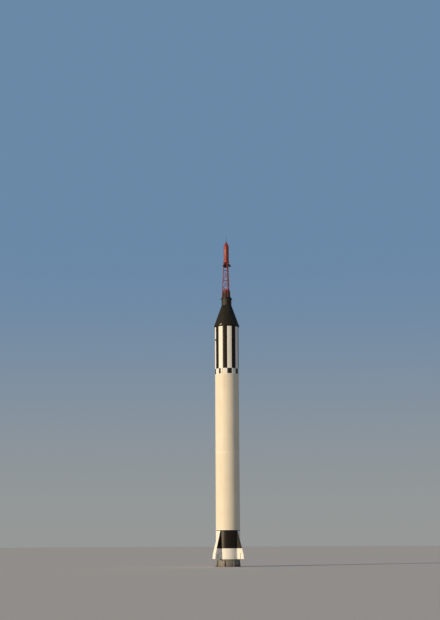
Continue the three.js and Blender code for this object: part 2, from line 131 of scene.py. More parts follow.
backdrop = bpy.data.worlds.new("backdrop")
backdrop.use_nodes = True
bpy.context.scene.world = backdrop
sky = backdrop.node_tree
sky_place = add_node(sky, "ShaderNodeTexCoord").outputs["Generated"]
sky_height = add_node(sky, "ShaderNodeSeparateXYZ", {0: sky_place}).outputs["Z"]
sky_share = add_node(sky, "ShaderNodeMapRange", {"Value": sky_height, "From Min": 0.0, "From Max": 0.24},
                     interpolation_type="SMOOTHSTEP").outputs[0]
fill_share = add_node(sky, "ShaderNodeMapRange", {"Value": sky_height, "From Min": 0.0, "From Max": 0.42}).outputs[0]
straight = add_node(sky, "ShaderNodeLightPath").outputs["Is Camera Ray"]
lighting, seen = mixed(sky, fill_share, fill_low, fill_high), mixed(sky, sky_share, haze_colour, sky_top)
sky_colour = mixed(sky, straight, lighting, seen)
sky.links.new(sky_colour, sky.nodes["Background"].inputs["Color"])

key_data = bpy.data.lights.new("key", "SUN")
key_data.angle = math.radians(key_softness)
key_data.color = key_colour
key_data.energy = key_strength
key = bpy.data.objects.new("key", key_data)
key.rotation_euler = (math.radians(90 - key_height), 0.0, math.radians(key_azimuth))
bpy.context.scene.collection.objects.link(key)
bpy.context.scene.view_settings.view_transform = "Standard"


# The launch ring is the plinth that the rocket stands on: a rolled steel drum with a flange at each
# end, gussets welded between them and anchor bolts through the foot. Its dull grey coat has begun
# to rust from the foot up.
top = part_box("launch_ring")[1].z
drum_radius, drum_wall = 0.838, 0.022
flange_thickness, flange_inner = 0.036, 0.790
foot_radius, head_radius = 0.960, 0.905
gusset_count, gusset_thickness, gusset_foot, gusset_head = 8, 0.020, 0.945, 0.895
anchor_count, anchor_circle, anchor_radius, anchor_height = 24, 0.900, 0.020, 0.026
ring_grey, ring_rust = (0.185, 0.190, 0.175, 1.0), (0.105, 0.055, 0.030, 1.0)


def grid_faces(rows, columns, loop_rows=False, loop_columns=True):
    """Quads between neighbouring rows and columns of a grid of points counted row by row: each goes
    from a point to the next in its row, then up, back and down."""
    row = np.arange(rows if loop_rows else rows - 1)[:, None]
    column = np.arange(columns if loop_columns else columns - 1)[None, :]
    above, beside = (row + 1) % rows, (column + 1) % columns
    corners = [row * columns + column, row * columns + beside, above * columns + beside, above * columns + column]
    return np.stack(corners, axis=-1).reshape(-1, 4)


def turned(profile, sides=128, loop=False):
    """A profile of (radius, height) turned about the Z axis: x is the radius times the cosine of the
    turn, y the radius times its sine. A profile that climbs on its outer side faces out."""
    radius, height = np.asarray(profile, float).T[:, :, None]
    turn = np.linspace(0.0, 2 * np.pi, sides, endpoint=False)
    points = np.stack([radius * np.cos(turn), radius * np.sin(turn), height + 0 * turn], axis=-1)
    return points, grid_faces(len(profile), sides, loop_rows=loop)


def slab(outline, thickness):
    """A flat plate: the outline at the lower and upper face, each closed to the outline's middle."""
    outline = np.asarray(outline, float)
    middle = np.broadcast_to(outline.mean(axis=0), outline.shape)
    levels = [(middle, -1), (outline, -1), (outline, 1), (middle, 1)]
    points = np.stack([np.c_[flat, np.full(len(flat), side * thickness / 2)] for flat, side in levels])
    return points, grid_faces(4, len(outline))


def copied(shape, places):
    """Copies of a shape: every point of it times each place's 3 by 3 turn, plus the place's shift."""
    points, faces = shape[0].reshape(-1, 3), shape[1]
    moved = np.einsum("kij,nj->kni", places[:, :3, :3], points) + places[:, None, :3, 3]
    shifts = np.arange(len(places))[:, None, None] * len(points)
    return moved, (faces[None] + shifts).reshape(-1, 4)


def places(origins, along, up):
    """Places as 4 by 4 matrices, with x along the first direction, y up the second and z across both."""
    origins, along, up = np.broadcast_arrays(origins, along, up)
    made = np.tile(np.eye(4), (len(origins), 1, 1))
    made[:, :3, 0], made[:, :3, 1], made[:, :3, 2], made[:, :3, 3] = along, up, np.cross(along, up), origins
    return made


def spokes(turns):
    """Unit vectors out from the axis and round it, at each turn."""
    turns = np.asarray(turns, float)
    out = np.stack([np.cos(turns), np.sin(turns), 0 * turns], axis=-1)
    return out, np.stack([-np.sin(turns), np.cos(turns), 0 * turns], axis=-1)


def on_wall(turns, radius, height, slope=0.0):
    """Places on an upright or sloping round wall: x round it, y up it and z straight out of it."""
    out, beside = spokes(turns)
    upward = np.array([0.0, 0.0, 1.0])
    origins = out * np.reshape(radius, (-1, 1)) + upward * np.reshape(height, (-1, 1))
    return places(origins, beside, upward * math.cos(slope) - out * math.sin(slope))


def on_deck(turns, radius, height, facing=1):
    """Places on a flat deck: z straight up from it, or down with facing -1."""
    out, beside = spokes(turns)
    origins = out * radius + np.array([0.0, 0.0, height])
    return places(origins, out, beside * facing)


def around(count, start=0.0):
    """Turns evenly spread round the axis, the first at start, in degrees."""
    return math.radians(start) + np.arange(count) * 2 * math.pi / count


def bolt_head(radius, height):
    """A six-sided head, chamfered at its top, with its foot sunk a little below the surface."""
    return turned([(0, -height / 3), (radius, -height / 3), (radius, 0.75 * height), (0.85 * radius, height),
                   (0, height)], 6)


def rivet_head(radius, height):
    """A low round head: the radius follows the cosine and the height the sine of a quarter turn."""
    quarter = np.linspace(0.0, math.pi / 2, 4)
    curve = np.c_[radius * np.cos(quarter), height * np.sin(quarter)]
    return turned(np.r_[[(0, -height)], [(radius, -height)], curve], 8)


def upon(base, *points):
    """Points of a profile whose heights are counted from a base."""
    return [(radius, base + height) for radius, height in points]


def make_piece(name, shapes, finish, slot, body="rocket", stands_for=(), bevel=0.0, smooth=40.0, wall=0.0):
    """One mesh from several shapes, in place: coinciding points are merged, the surface is smooth up
    to an angle, and it rides on its body. A wall or a bevel is a modifier."""
    counts = [shape[0].size // 3 for shape in shapes]
    points = np.concatenate([shape[0].reshape(-1, 3) for shape in shapes])
    faces = np.concatenate([shape[1] + start for shape, start in zip(shapes, np.cumsum([0] + counts[:-1]))])
    mesh = bpy.data.meshes.new(name)
    mesh.vertices.add(len(points))
    mesh.vertices.foreach_set("co", points.astype(np.float32).ravel())
    mesh.loops.add(faces.size)
    mesh.loops.foreach_set("vertex_index", faces.astype(np.int32).ravel())
    mesh.polygons.add(len(faces))
    mesh.polygons.foreach_set("loop_start", np.arange(0, faces.size, 4, dtype=np.int32))
    mesh.update(calc_edges=True)
    merged = bmesh.new()
    merged.from_mesh(mesh)
    bmesh.ops.remove_doubles(merged, verts=merged.verts, dist=1e-5)
    bmesh.ops.dissolve_degenerate(merged, edges=merged.edges, dist=1e-6)
    merged.to_mesh(mesh)
    merged.free()
    mesh.shade_smooth()
    if not bevel:
        mesh.set_sharp_from_angle(angle=math.radians(smooth))
    mesh.materials.append(finish)
    piece = bpy.data.objects.new(name, mesh)
    bpy.context.scene.collection.objects.link(piece)
    if wall:
        thick = piece.modifiers.new("wall", "SOLIDIFY")
        thick.thickness, thick.offset = wall, -1.0
    if bevel:
        edges = piece.modifiers.new("rounded edges", "BEVEL")
        edges.width, edges.segments, edges.limit_method = bevel, 2, "ANGLE"
        edges.angle_limit, edges.harden_normals = math.radians(smooth), True
    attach(piece, body)
    if stands_for:
        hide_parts(*stands_for)
    return piece


def new_group(name, inputs, outputs):
    """An empty node group with named sockets. Returns it with its inputs' and outputs' nodes."""
    group = bpy.data.node_groups.new(name, "ShaderNodeTree")
    for socket, kind in inputs:
        group.interface.new_socket(socket, in_out="INPUT", socket_type=kind)
    for socket, kind in outputs:
        group.interface.new_socket(socket, in_out="OUTPUT", socket_type=kind)
    return group, group.nodes.new("NodeGroupInput").outputs, group.nodes.new("NodeGroupOutput").inputs


def sums(tree, operation, first, second=0.0, third=0.0):
    """The result socket of one Math node."""
    return add_node(tree, "ShaderNodeMath", {0: first, 1: second, 2: third}, operation=operation).outputs[0]


def times(tree, first, second):
    """One value multiplied by another."""
    return sums(tree, "MULTIPLY", first, second)


def axes(tree, place):
    """A place's x, y and z."""
    return add_node(tree, "ShaderNodeSeparateXYZ", {0: place}).outputs


def off_axis(tree, x, y):
    """The distance from the rocket's axis: the root of x squared plus y squared."""
    return sums(tree, "SQRT", sums(tree, "ADD", times(tree, x, x), times(tree, y, y)))


def noise(tree, place, scale, detail=3.0, stretch=(1.0, 1.0, 1.0), roughness=0.55):
    """The value of a noise whose pattern is stretched along the axes by one over the stretch."""
    spread = add_node(tree, "ShaderNodeMapping", {"Vector": place, "Scale": stretch}).outputs[0]
    made = add_node(tree, "ShaderNodeTexNoise", {"Vector": spread, "Scale": scale, "Detail": detail,
                                                 "Roughness": roughness})
    return made.outputs[0]


def between(tree, value, low, high, to_low=0.0, to_high=1.0):
    """The value's share of the way from low to high, clamped, and scaled to a new range."""
    return add_node(tree, "ShaderNodeMapRange", {"Value": value, "From Min": low, "From Max": high,
                                                 "To Min": to_low, "To Max": to_high}).outputs[0]


# Outdoor coats all weather alike: rain draws grime down in faint upright streaks, the tone drifts a
# little over a metre or so, and the sprayed film has a fine orange-peel texture.
weather, weather_in, weather_out = new_group(
    "weathered_coat",
    [("Place", "NodeSocketVector"), ("Coat", "NodeSocketColor"), ("Grime", "NodeSocketColor"),
     ("Streaks", "NodeSocketFloat"), ("Roughness", "NodeSocketFloat")],
    [("Color", "NodeSocketColor"), ("Roughness", "NodeSocketFloat"), ("Height", "NodeSocketFloat")])
rain = between(weather, noise(weather, weather_in["Place"], 5.0, 6.0, (2.2, 2.2, 0.10)), 0.50, 0.78)
drift = between(weather, noise(weather, weather_in["Place"], 0.9, 4.0), 0.35, 0.65)
specks = between(weather, noise(weather, weather_in["Place"], 38.0, 2.0), 0.66, 0.74)
peel = noise(weather, weather_in["Place"], 240.0, 2.0)
streaks = times(weather, rain, sums(weather, "MULTIPLY_ADD", drift, 0.5, 0.5))
soiled = times(weather, weather_in["Streaks"], sums(weather, "MAXIMUM", streaks, times(weather, specks, 0.45)))
toned = mixed(weather, times(weather, drift, 0.10), weather_in["Coat"], weather_in["Grime"])
weather.links.new(mixed(weather, soiled, toned, weather_in["Grime"]), weather_out["Color"])
weather.links.new(sums(weather, "MULTIPLY_ADD", soiled, 0.25,
                       sums(weather, "MULTIPLY_ADD", drift, 0.05, weather_in["Roughness"])), weather_out["Roughness"])
weather.links.new(sums(weather, "MULTIPLY_ADD", peel, 0.5, times(weather, drift, 0.3)), weather_out["Height"])


def coated(name, coat, grime, streaks=0.35, roughness=0.4, coat_gloss=0.0, coat_roughness=0.1, metallic=0.0,
           specular=0.5, texture=0.05, pattern=None, chalked=None, dark_grime=None):
    """A weathered coat on metal. A pattern takes the tree and the place, and returns a colour socket
    that stands in for the plain coat. A chalked gloss is what is left of the gloss on pale paint, and
    dark grime is what shows on the dark parts of a pattern."""
    finish, tree, shader = new_finish(name)
    place = add_node(tree, "ShaderNodeTexCoord").outputs["Object"]
    shown = pattern(tree, place) if pattern else coat
    if pattern and dark_grime:
        pale = add_node(tree, "ShaderNodeRGBToBW", {0: shown}).outputs[0]
        grime = mixed(tree, between(tree, pale, 0.05, 0.40), dark_grime, grime)
    worn = add_node(tree, "ShaderNodeGroup", {"Place": place, "Coat": shown, "Grime": grime, "Streaks": streaks,
                                              "Roughness": roughness}, node_tree=weather).outputs
    bump = add_node(tree, "ShaderNodeBump", {"Height": worn["Height"], "Strength": texture, "Distance": 0.002})
    if chalked is not None:
        paleness = add_node(tree, "ShaderNodeRGBToBW", {0: worn["Color"]}).outputs[0]
        coat_gloss = between(tree, paleness, 0.05, 0.40, coat_gloss, chalked)
    connect(tree, shader, {
        "Base Color": worn["Color"], "Roughness": worn["Roughness"], "Normal": bump.outputs[0], "Metallic": metallic,
        "Specular IOR Level": specular, "Coat Weight": coat_gloss, "Coat Roughness": coat_roughness})
    return finish


def rusting(tree, place):
    """Grey that gives way to rust in patches, more of them near the foot."""
    wet = between(tree, axes(tree, place)[2], 0.02, 0.30, 0.16, 0.0)
    patches = sums(tree, "ADD", noise(tree, place, 14.0, 8.0, (1.0, 1.0, 0.5), 0.65), wet)
    return mixed(tree, between(tree, patches, 0.62, 0.70), ring_grey, ring_rust)


ring_coat = coated("grey_ring_coat", ring_grey, ring_rust, 0.25, 0.55, texture=0.25, pattern=rusting)
drum = turned([
    (flange_inner, 0), (foot_radius, 0), (foot_radius, flange_thickness), (drum_radius, flange_thickness),
    (drum_radius, top - flange_thickness), (head_radius, top - flange_thickness), (head_radius, top),
    (flange_inner, top), (flange_inner, top - flange_thickness), (drum_radius - drum_wall, top - flange_thickness),
    (drum_radius - drum_wall, flange_thickness), (flange_inner, flange_thickness)], 144, loop=True)
make_piece("launch_ring_drum", [drum], ring_coat, "grey_paint", stands_for=["launch_ring"], bevel=0.003)
gusset = slab([(drum_radius - 0.01, flange_thickness), (gusset_foot, flange_thickness),
               (gusset_foot, flange_thickness + 0.03), (gusset_head, top - flange_thickness - 0.03),
               (gusset_head, top - flange_thickness), (drum_radius - 0.01, top - flange_thickness)], gusset_thickness)
gusset_turns = around(gusset_count, 22.5)
gusset_out = spokes(gusset_turns)[0]
make_piece("launch_ring_gussets", [copied(gusset, places(0 * gusset_out, gusset_out, [0, 0, 1]))], ring_coat,
           "grey_paint", bevel=0.002)
anchor = bolt_head(anchor_radius, anchor_height)
washer = turned([(0, -0.004), (1.5 * anchor_radius, -0.004), (1.5 * anchor_radius, 0.004), (0, 0.005)], 20)
anchor_turns = around(anchor_count, 7.5)
anchors = [copied(part, on_deck(anchor_turns, anchor_circle, flange_thickness)) for part in (anchor, washer)]
hangers = [copied(part, on_deck(anchor_turns, 0.872, top - flange_thickness, -1)) for part in (anchor, washer)]
make_piece("launch_ring_bolts", anchors + hangers, ring_coat, "grey_paint", smooth=25)


# The tail skirt is a riveted sheet tube on ring frames. It is painted in quarters: two opposite ones
# are black above a line, and everything else is white. A near black band in the groove at the tank is painted shade.
skirt_low, skirt_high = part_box("tail_skirt")
body_radius = skirt_high.x
skirt_wall, skirt_foot_inner, skirt_foot_thickness = 0.030, 0.815, 0.030
groove_depth, groove_height = 0.008, 0.045
paint_line = 1.328                  # height where the black quarters end
white_coat, black_coat = (0.84, 0.83, 0.78, 1.0), (0.0100, 0.0068, 0.0039, 1.0)
white_grime, black_grime = (0.42, 0.36, 0.27, 1.0), (0.024, 0.019, 0.012, 1.0)
gloss = dict(roughness=0.70, coat_gloss=0.60, coat_roughness=0.33, specular=0.0, chalked=0.08, dark_grime=black_grime)
band_reach = 0.0025


def quarters(tree, place):
    """Black where x times y is below zero and the height is above the paint line, else white."""
    x, y, z = axes(tree, place)
    wobble = sums(tree, "MULTIPLY_ADD", noise(tree, place, 9.0), 0.004, -0.002)
    dark_quarter = sums(tree, "LESS_THAN", times(tree, x, y), 0.0)
    above = sums(tree, "GREATER_THAN", sums(tree, "ADD", z, wobble), paint_line)
    return mixed(tree, times(tree, dark_quarter, above), white_coat, black_coat)


quarter_coat = coated("tail_quarters", white_coat, white_grime, 0.22, pattern=quarters, **gloss)
low, high = skirt_low.z, skirt_high.z
skirt = turned([
    (skirt_foot_inner, low), (body_radius, low), (body_radius, high - groove_height),
    (body_radius - groove_depth, high - groove_height), (body_radius - groove_depth, high),
    (body_radius - skirt_wall, high), (body_radius - skirt_wall, low + skirt_foot_thickness),
    (skirt_foot_inner, low + skirt_foot_thickness)], 160, loop=True)
make_piece("tail_skirt_skin", [skirt], quarter_coat, "tail_paint", stands_for=["tail_skirt"], bevel=0.0015)
# The band in the groove is near black: painted shade that stands in for the groove's shadow.
groove_shade_dark = coated("tail_groove_shade", (0.020, 0.017, 0.013, 1.0), black_grime, 0.4, 0.75, specular=0.2, texture=0.2)
groove_shade_inner, groove_shade_edge = body_radius - groove_depth - 0.002, body_radius - 0.003
make_piece("tail_skirt_groove_shade", [turned(
    upon(high - groove_height, (groove_shade_inner, 0.002), (groove_shade_edge - 0.002, 0.002), (groove_shade_edge, 0.005))
    + upon(high, (groove_shade_edge, -0.005), (groove_shade_edge - 0.002, -0.002), (groove_shade_inner, -0.002)), 160, loop=True)],
    groove_shade_dark, "black_paint")


def strap(height, tall, radius=body_radius, proud=band_reach, sides=160):
    """A flat strap round the body, with its edges let into the skin."""
    rim = min(proud, tall / 4)
    half = [(radius - 0.004, -tall / 2), (radius + proud / 2, -tall / 2), (radius + proud, rim - tall / 2)]
    return turned(upon(height, *half, *[(reach, -level) for reach, level in half[::-1]]), sides, loop=True)


strap_heights = [low + 0.040, low + 0.42, paint_line + 0.12, high - 0.075]
make_piece("tail_skirt_straps", [strap(height, 0.055) for height in strap_heights], quarter_coat, "tail_paint")
rivet = rivet_head(0.0065, 0.0030)


def rivet_rows(heights, count, radius=body_radius + band_reach, shape=rivet):
    """Rivets round the body at each height, the rows half a pitch apart."""
    turns = np.concatenate([around(count, 180.0 / count * (index % 2)) for index in range(len(heights))])
    return copied(shape, on_wall(turns, radius, np.repeat(heights, count)))


rivet_heights = [height + side * 0.016 for height in strap_heights for side in (-1, 1)]
make_piece("tail_skirt_rivets", [rivet_rows(rivet_heights, 120)], quarter_coat, "tail_paint", smooth=60)


def door(turn, height, wide, tall, radius=body_radius, proud=0.0035, corner=9.0, points=72):
    """A door on the round body, its outline a superellipse: x and y are powers of a cosine and a sine.
    Rings of that outline run from under the skin up the rim and in over the top, and the flat plate
    is bent round the body by reading x over the radius as a turn."""
    angle = np.linspace(0.0, 2 * np.pi, points, endpoint=False)
    across = wide / 2 * np.sign(np.cos(angle)) * np.abs(np.cos(angle)) ** (2 / corner)
    up = tall / 2 * np.sign(np.sin(angle)) * np.abs(np.sin(angle)) ** (2 / corner)
    share = np.array([0.0, 1.0, 1.0, 0.994, 0.985, 0.975, 0.5, 0.0])[:, None]
    lift = np.array([-0.004, -0.004, 0.4 * proud, 0.85 * proud, proud, proud, proud, proud])[:, None]
    bent = math.radians(turn) + share * across / radius
    out = radius + lift
    return (np.stack([out * np.cos(bent), out * np.sin(bent), height + share * up], axis=-1),
            grid_faces(len(share), points))


def door_screws(turn, height, wide, tall, radius=body_radius + 0.0035, inset=0.022, pitch=0.085, shape=rivet):
    """Screws along a door's four sides, a little in from its edge."""
    columns, rows = max(2, round((wide - 2 * inset) / pitch)), max(2, round((tall - 2 * inset) / pitch))
    x = np.linspace(-1, 1, columns + 1) * (wide / 2 - inset)
    y = np.linspace(-1, 1, rows + 1)[1:-1] * (tall / 2 - inset)
    across = np.r_[x, x, np.full(len(y), x[0]), np.full(len(y), x[-1])]
    up = np.r_[np.full(len(x), inset - tall / 2), np.full(len(x), tall / 2 - inset), y, y]
    return copied(shape, on_wall(math.radians(turn) + across / radius, radius, height + up))


tail_doors = [(turn, 1.86, 0.40, 0.50) for turn in (-135, -45, 45, 135)]
tail_doors += [(turn, 0.86, 0.26, 0.26) for turn in (-145, 35)]
make_piece("tail_skirt_doors", [door(*size) for size in tail_doors], quarter_coat, "tail_paint")
make_piece("tail_skirt_door_screws", [door_screws(*size) for size in tail_doors], quarter_coat, "tail_paint",
           smooth=60)


# Four fins are bolted to the skirt: thick sheet boxes with a wedge edge. Each side takes the colour
# of the quarter that it faces.
fin_foot_reach = 1.468
fin_root_half, fin_tip_half = 0.075, 0.048
SIDES = [("south", -90.0), ("east", 0.0), ("north", 90.0), ("west", 180.0)]


def refinish(node, finish, rounding=0.0):
    """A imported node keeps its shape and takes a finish. Its loose faces are welded, so that the
    edges can be rounded."""
    node = nodes[node]
    node.data.materials.clear()
    node.data.materials.append(finish)
    if rounding:
        weld = node.modifiers.new("weld", "WELD")
        weld.merge_threshold = 0.0001
        edges = node.modifiers.new("rounded edges", "BEVEL")
        edges.width, edges.segments, edges.limit_method = rounding, 2, "ANGLE"
        edges.angle_limit, edges.harden_normals = math.radians(20), False


def fin_half(reach):
    """Half of the fin's thickness, which falls evenly from the body's skin to the tip."""
    share = (reach - body_radius) / (fin_foot_reach - body_radius)
    return fin_root_half + (fin_tip_half - fin_root_half) * share


def line_of(start, end, pitch):
    """Points along a straight line, about a pitch apart, both ends included."""
    start, end = np.array(start, float), np.array(end, float)
    count = max(2, round(np.linalg.norm(end - start) / pitch))
    return start + (end - start) * np.linspace(0, 1, count + 1)[:, None]


def both_faces(turn, points, shape):
    """A small shape at each (reach, height) point of both faces of the fin at this turn."""
    out, beside = spokes([turn])
    made = []
    for side in (1, -1):
        origins = out * points[:, :1] + beside * side * fin_half(points[:, :1]) + [0, 0, 1] * points[:, 1:]
        made.append(copied(shape, places(origins, out * -side, [0, 0, 1])))
    return made


inner_edge = [(0.935, 1.97), (1.262, 1.03)]
fin_rivets = np.concatenate([
    line_of((0.935, 0.60), inner_edge[0], 0.075), line_of(inner_edge[0], inner_edge[1], 0.075),
    line_of((0.960, 1.02), (1.255, 1.02), 0.065), line_of((0.960, 0.60), (1.140, 0.60), 0.065),
    line_of((1.145, 0.66), (1.145, 0.97), 0.065), line_of((0.960, 1.42), (1.105, 1.42), 0.065)])
root_sides, root_rows = 7, 40
root_round, root_head, fade_head, fade_length = 0.030, 2.27, 2.35, 0.45    # the fairing thins out below its head
for side, degrees in SIDES:
    turn = math.radians(degrees)
    refinish(f"fin_{side}", quarter_coat, 0.003)
    make_piece(f"fin_rivets_{side}", both_faces(turn, fin_rivets, rivet), quarter_coat, "tail_paint", smooth=60)
    out, beside = spokes([turn])
    heights = np.linspace(low + 0.02, root_head, root_rows)[:, None, None]
    opening = np.linspace(0.0, np.pi / 2, root_sides)[None, :, None]
    fairings = []
    for hand in (1, -1):
        half = fin_root_half - 0.004
        fade = np.clip((fade_head - heights) / fade_length, 0.0, 1.0) ** 0.5
        round_in = root_round * fade * (1 - np.sin(opening))
        round_out = root_round * fade * (1 - np.cos(opening))
        lateral = half * fade + round_in
        radial = np.sqrt(body_radius ** 2 - lateral ** 2) - 0.002 + round_out
        curve = out * radial + beside * hand * lateral + [0, 0, 1] * heights
        order = curve if hand > 0 else curve[:, ::-1]
        fairings.append((order, grid_faces(root_rows, root_sides, loop_columns=False)))
    make_piece(f"fin_fairing_{side}", fairings, quarter_coat, "tail_paint", wall=0.003)


# An air rudder swings on the same shaft as the jet vane inside the tail. The shaft is turned steel
# in a flanged bearing on the skirt, and the vane is a slab of graphite that the exhaust has scorched.
shaft_height = frame["joints"][0]["pos_m"][2]
shaft_radius, cup_radius, cup_length = 0.034, 0.062, 0.060
bearing_radius, bearing_depth = 0.092, 0.045
steel_grey, steel_dirt = (0.40, 0.39, 0.37, 1.0), (0.10, 0.08, 0.06, 1.0)
graphite_dark, graphite_ash = (0.020, 0.020, 0.022, 1.0), (0.10, 0.095, 0.09, 1.0)


def machined(tree, place):
    """Steel with fine turning marks that lighten and darken it."""
    marks = noise(tree, place, 60.0, 4.0, (6.0, 6.0, 6.0))
    return mixed(tree, between(tree, marks, 0.4, 0.6, 0.0, 0.35), steel_grey, steel_dirt)


steel = coated("machined_steel", steel_grey, steel_dirt, 0.3, 0.32, metallic=1.0, pattern=machined)
graphite = coated("scorched_graphite", graphite_dark, graphite_ash, 0.7, 0.75, texture=0.6)
lathe_to_spoke = np.array([[0.0, 0.0, 1.0], [1.0, 0.0, 0.0], [0.0, 1.0, 0.0]])


def along_spoke(shape, turn, height):
    """A shape turned about Z, laid over so that its Z axis runs straight out along a spoke."""
    points = shape[0] @ lathe_to_spoke.T
    out, beside = spokes([turn])
    return copied((points, shape[1]), places(np.array([[0.0, 0.0, height]]), out, beside))


shaft_end, wall_inside = 1.1797, body_radius - skirt_wall
bearing_bore = shaft_radius + 0.003
for side, degrees in SIDES:
    turn = math.radians(degrees)
    vane_low, vane_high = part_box(f"jet_vane_{side}")
    cup_low = max(abs(v) for v in (*vane_low.xy, *vane_high.xy)) + 0.0003
    refinish(f"rudder_{side}", quarter_coat, 0.003)
    refinish(f"jet_vane_{side}", graphite, 0.004)
    shaft = turned(
        upon(cup_low, (0, 0), (cup_radius - 0.006, 0), (cup_radius, 0.006))
        + upon(cup_low + cup_length, (cup_radius, -0.008), (cup_radius - 0.008, 0), (shaft_radius + 0.006, 0),
               (shaft_radius, 0.008))
        + upon(shaft_end, (shaft_radius, -0.004), (shaft_radius - 0.004, 0), (0, 0)), 40)
    screws = copied(bolt_head(0.006, 0.005), on_wall(around(6), cup_radius, cup_low + 0.022))
    make_piece(f"vane_shaft_turned_{side}", [along_spoke(part, turn, shaft_height) for part in (shaft, screws)],
               steel, "steel", body=f"vane_{side}", stands_for=[f"vane_shaft_{side}"])
    bearing = turned(
        upon(wall_inside - bearing_depth, (bearing_bore, 0), (0.056, 0), (0.060, 0.004))
        + upon(wall_inside, (0.060, -0.014), (bearing_radius, -0.014), (bearing_radius, 0.004),
               (bearing_bore, 0.004)), 48, loop=True)
    studs = copied(bolt_head(0.008, 0.008), on_deck(around(8, 22.5), 0.077, wall_inside - 0.014, -1))
    make_piece(f"vane_bearing_{side}", [along_spoke(part, turn, shaft_height) for part in (bearing, studs)],
               steel, "steel")


# The engine's bell is sheet steel wound with cooling bands. Firing has left it straw brown at the
# lip, blue above that, and sooty inside. A plain block stands for the chamber and pump above it.
bell_throat, bell_throat_height = 0.150, 1.700
bell_exit, bell_exit_height, bell_wall = 0.365, 0.930, 0.016
bell_bands = [1.02, 1.16, 1.30]
tint_cold, tint_straw, tint_blue = (0.20, 0.19, 0.18, 1.0), (0.26, 0.17, 0.085, 1.0), (0.075, 0.085, 0.13, 1.0)
soot = (0.025, 0.022, 0.020, 1.0)


def bell_radius(height):
    """The bell opens from its throat as a power of the share of the way down."""
    share = (bell_throat_height - height) / (bell_throat_height - bell_exit_height)
    return bell_throat + (bell_exit - bell_throat) * np.clip(share, 0, 1) ** 0.72


def heat_tint(tree, place):
    """Straw near the lip, blue above it, and the bare steel's grey further up, broken by noise."""
    z = axes(tree, place)[2]
    level = sums(tree, "ADD", z, sums(tree, "MULTIPLY_ADD", noise(tree, place, 6.0, 5.0), 0.16, -0.08))
    lower = mixed(tree, between(tree, level, bell_exit_height, 1.08), tint_straw, tint_blue)
    coloured = mixed(tree, between(tree, level, 1.08, 1.26), lower, tint_cold)
    smoke = between(tree, noise(tree, place, 20.0, 6.0, (1.0, 1.0, 0.2)), 0.5, 0.75, 0.0, 0.7)
    return mixed(tree, smoke, coloured, soot)


bell_steel = coated("heat_tinted_steel", tint_cold, soot, 0.5, 0.38, metallic=1.0, pattern=heat_tint)
bell_heights = np.linspace(bell_exit_height, bell_throat_height, 40)
outside = np.c_[bell_radius(bell_heights) + bell_wall, bell_heights]
inside = np.c_[bell_radius(bell_heights), bell_heights][::-1]
bell_parts = [turned(np.r_[outside, inside], 96, loop=True)]
bell_parts += [strap(height, 0.030, float(bell_radius(height)) + bell_wall, 0.010, 96) for height in bell_bands]
lip = np.linspace(0, 2 * np.pi, 12, endpoint=False)
lip_profile = np.c_[bell_exit + bell_wall + 0.004 + 0.010 * np.cos(lip),
                    bell_exit_height + 0.012 + 0.010 * np.sin(lip)]
bell_parts.append(turned(lip_profile, 96, loop=True))
make_piece("engine_bell", bell_parts, bell_steel, "nozzle_steel", stands_for=["engine_nozzle"])
refinish("engine_block", steel)


# The tail heat shield is a dished sheet ring round the bell, stiffened by radial hat sections and
# riveted to an angle on the skirt. The pump's exhaust pipe comes through it with a bolted collar.
shield_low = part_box("tail_heat_shield")[0]
shield_sheet, shield_soot = (0.36, 0.35, 0.32, 1.0), (0.05, 0.045, 0.04, 1.0)
duct_x, duct_y, duct_radius, duct_wall = -0.47, 0.47, 0.085, 0.008
duct_low, duct_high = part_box("exhaust_duct")
rib_count, rib_half, rib_height, rib_inner, rib_outer = 24, 0.016, 0.014, 0.345, 0.835


def scorched(tree, place):
    """Sheet that soot darkens towards the middle."""
    reach = off_axis(tree, *axes(tree, place)[:2])
    smoke = sums(tree, "ADD", between(tree, reach, 0.36, 0.80, 0.75, 0.15), noise(tree, place, 7.0, 5.0))
    return mixed(tree, between(tree, smoke, 0.6, 1.2), shield_sheet, shield_soot)


shield_finish = coated("scorched_sheet", shield_sheet, shield_soot, 0.4, 0.5, metallic=0.7, texture=0.2,
                       pattern=scorched)
refinish("tail_heat_shield", shield_finish)
rib_turns = around(rib_count, 3.75)
duct_turn = math.atan2(duct_y, duct_x)
clear_of_duct = np.abs((rib_turns - duct_turn + np.pi) % (2 * np.pi) - np.pi) > 0.22
rib_span = np.linspace(rib_inner, rib_outer, 12)[:, None, None]
rib_section = np.array([(-1.0, 0.0), (-0.7, 1.0), (0.7, 1.0), (1.0, 0.0)])
ends = np.clip(np.minimum(rib_span - rib_inner, rib_outer - rib_span) / 0.04, 0.0, 1.0)
across, upward = rib_section[None, :, :1], rib_section[None, :, 1:]
rib_grid = np.concatenate([rib_span + 0 * across, rib_half * across + 0 * rib_span,
                           -0.002 + (rib_height + 0.002) * ends * upward], axis=-1)
rib = (rib_grid[:, ::-1], grid_faces(12, 4, loop_columns=True))
rib_out, rib_beside = spokes(rib_turns[clear_of_duct])
rib_places = places(rib_out * 0 + [0, 0, shield_low.z], rib_out, -rib_beside)
make_piece("heat_shield_ribs", [copied(rib, rib_places)], shield_finish, "heat_shield")
rim_angle = turned(upon(shield_low.z, (0.800, -0.006), (0.857, -0.006), (0.857, -0.0005), (0.800, -0.0005)), 128,
                   loop=True)
rim_rivets = copied(rivet, on_deck(around(72), 0.822, shield_low.z - 0.006, -1))
make_piece("heat_shield_rim", [rim_angle, rim_rivets], shield_finish, "heat_shield", smooth=30)

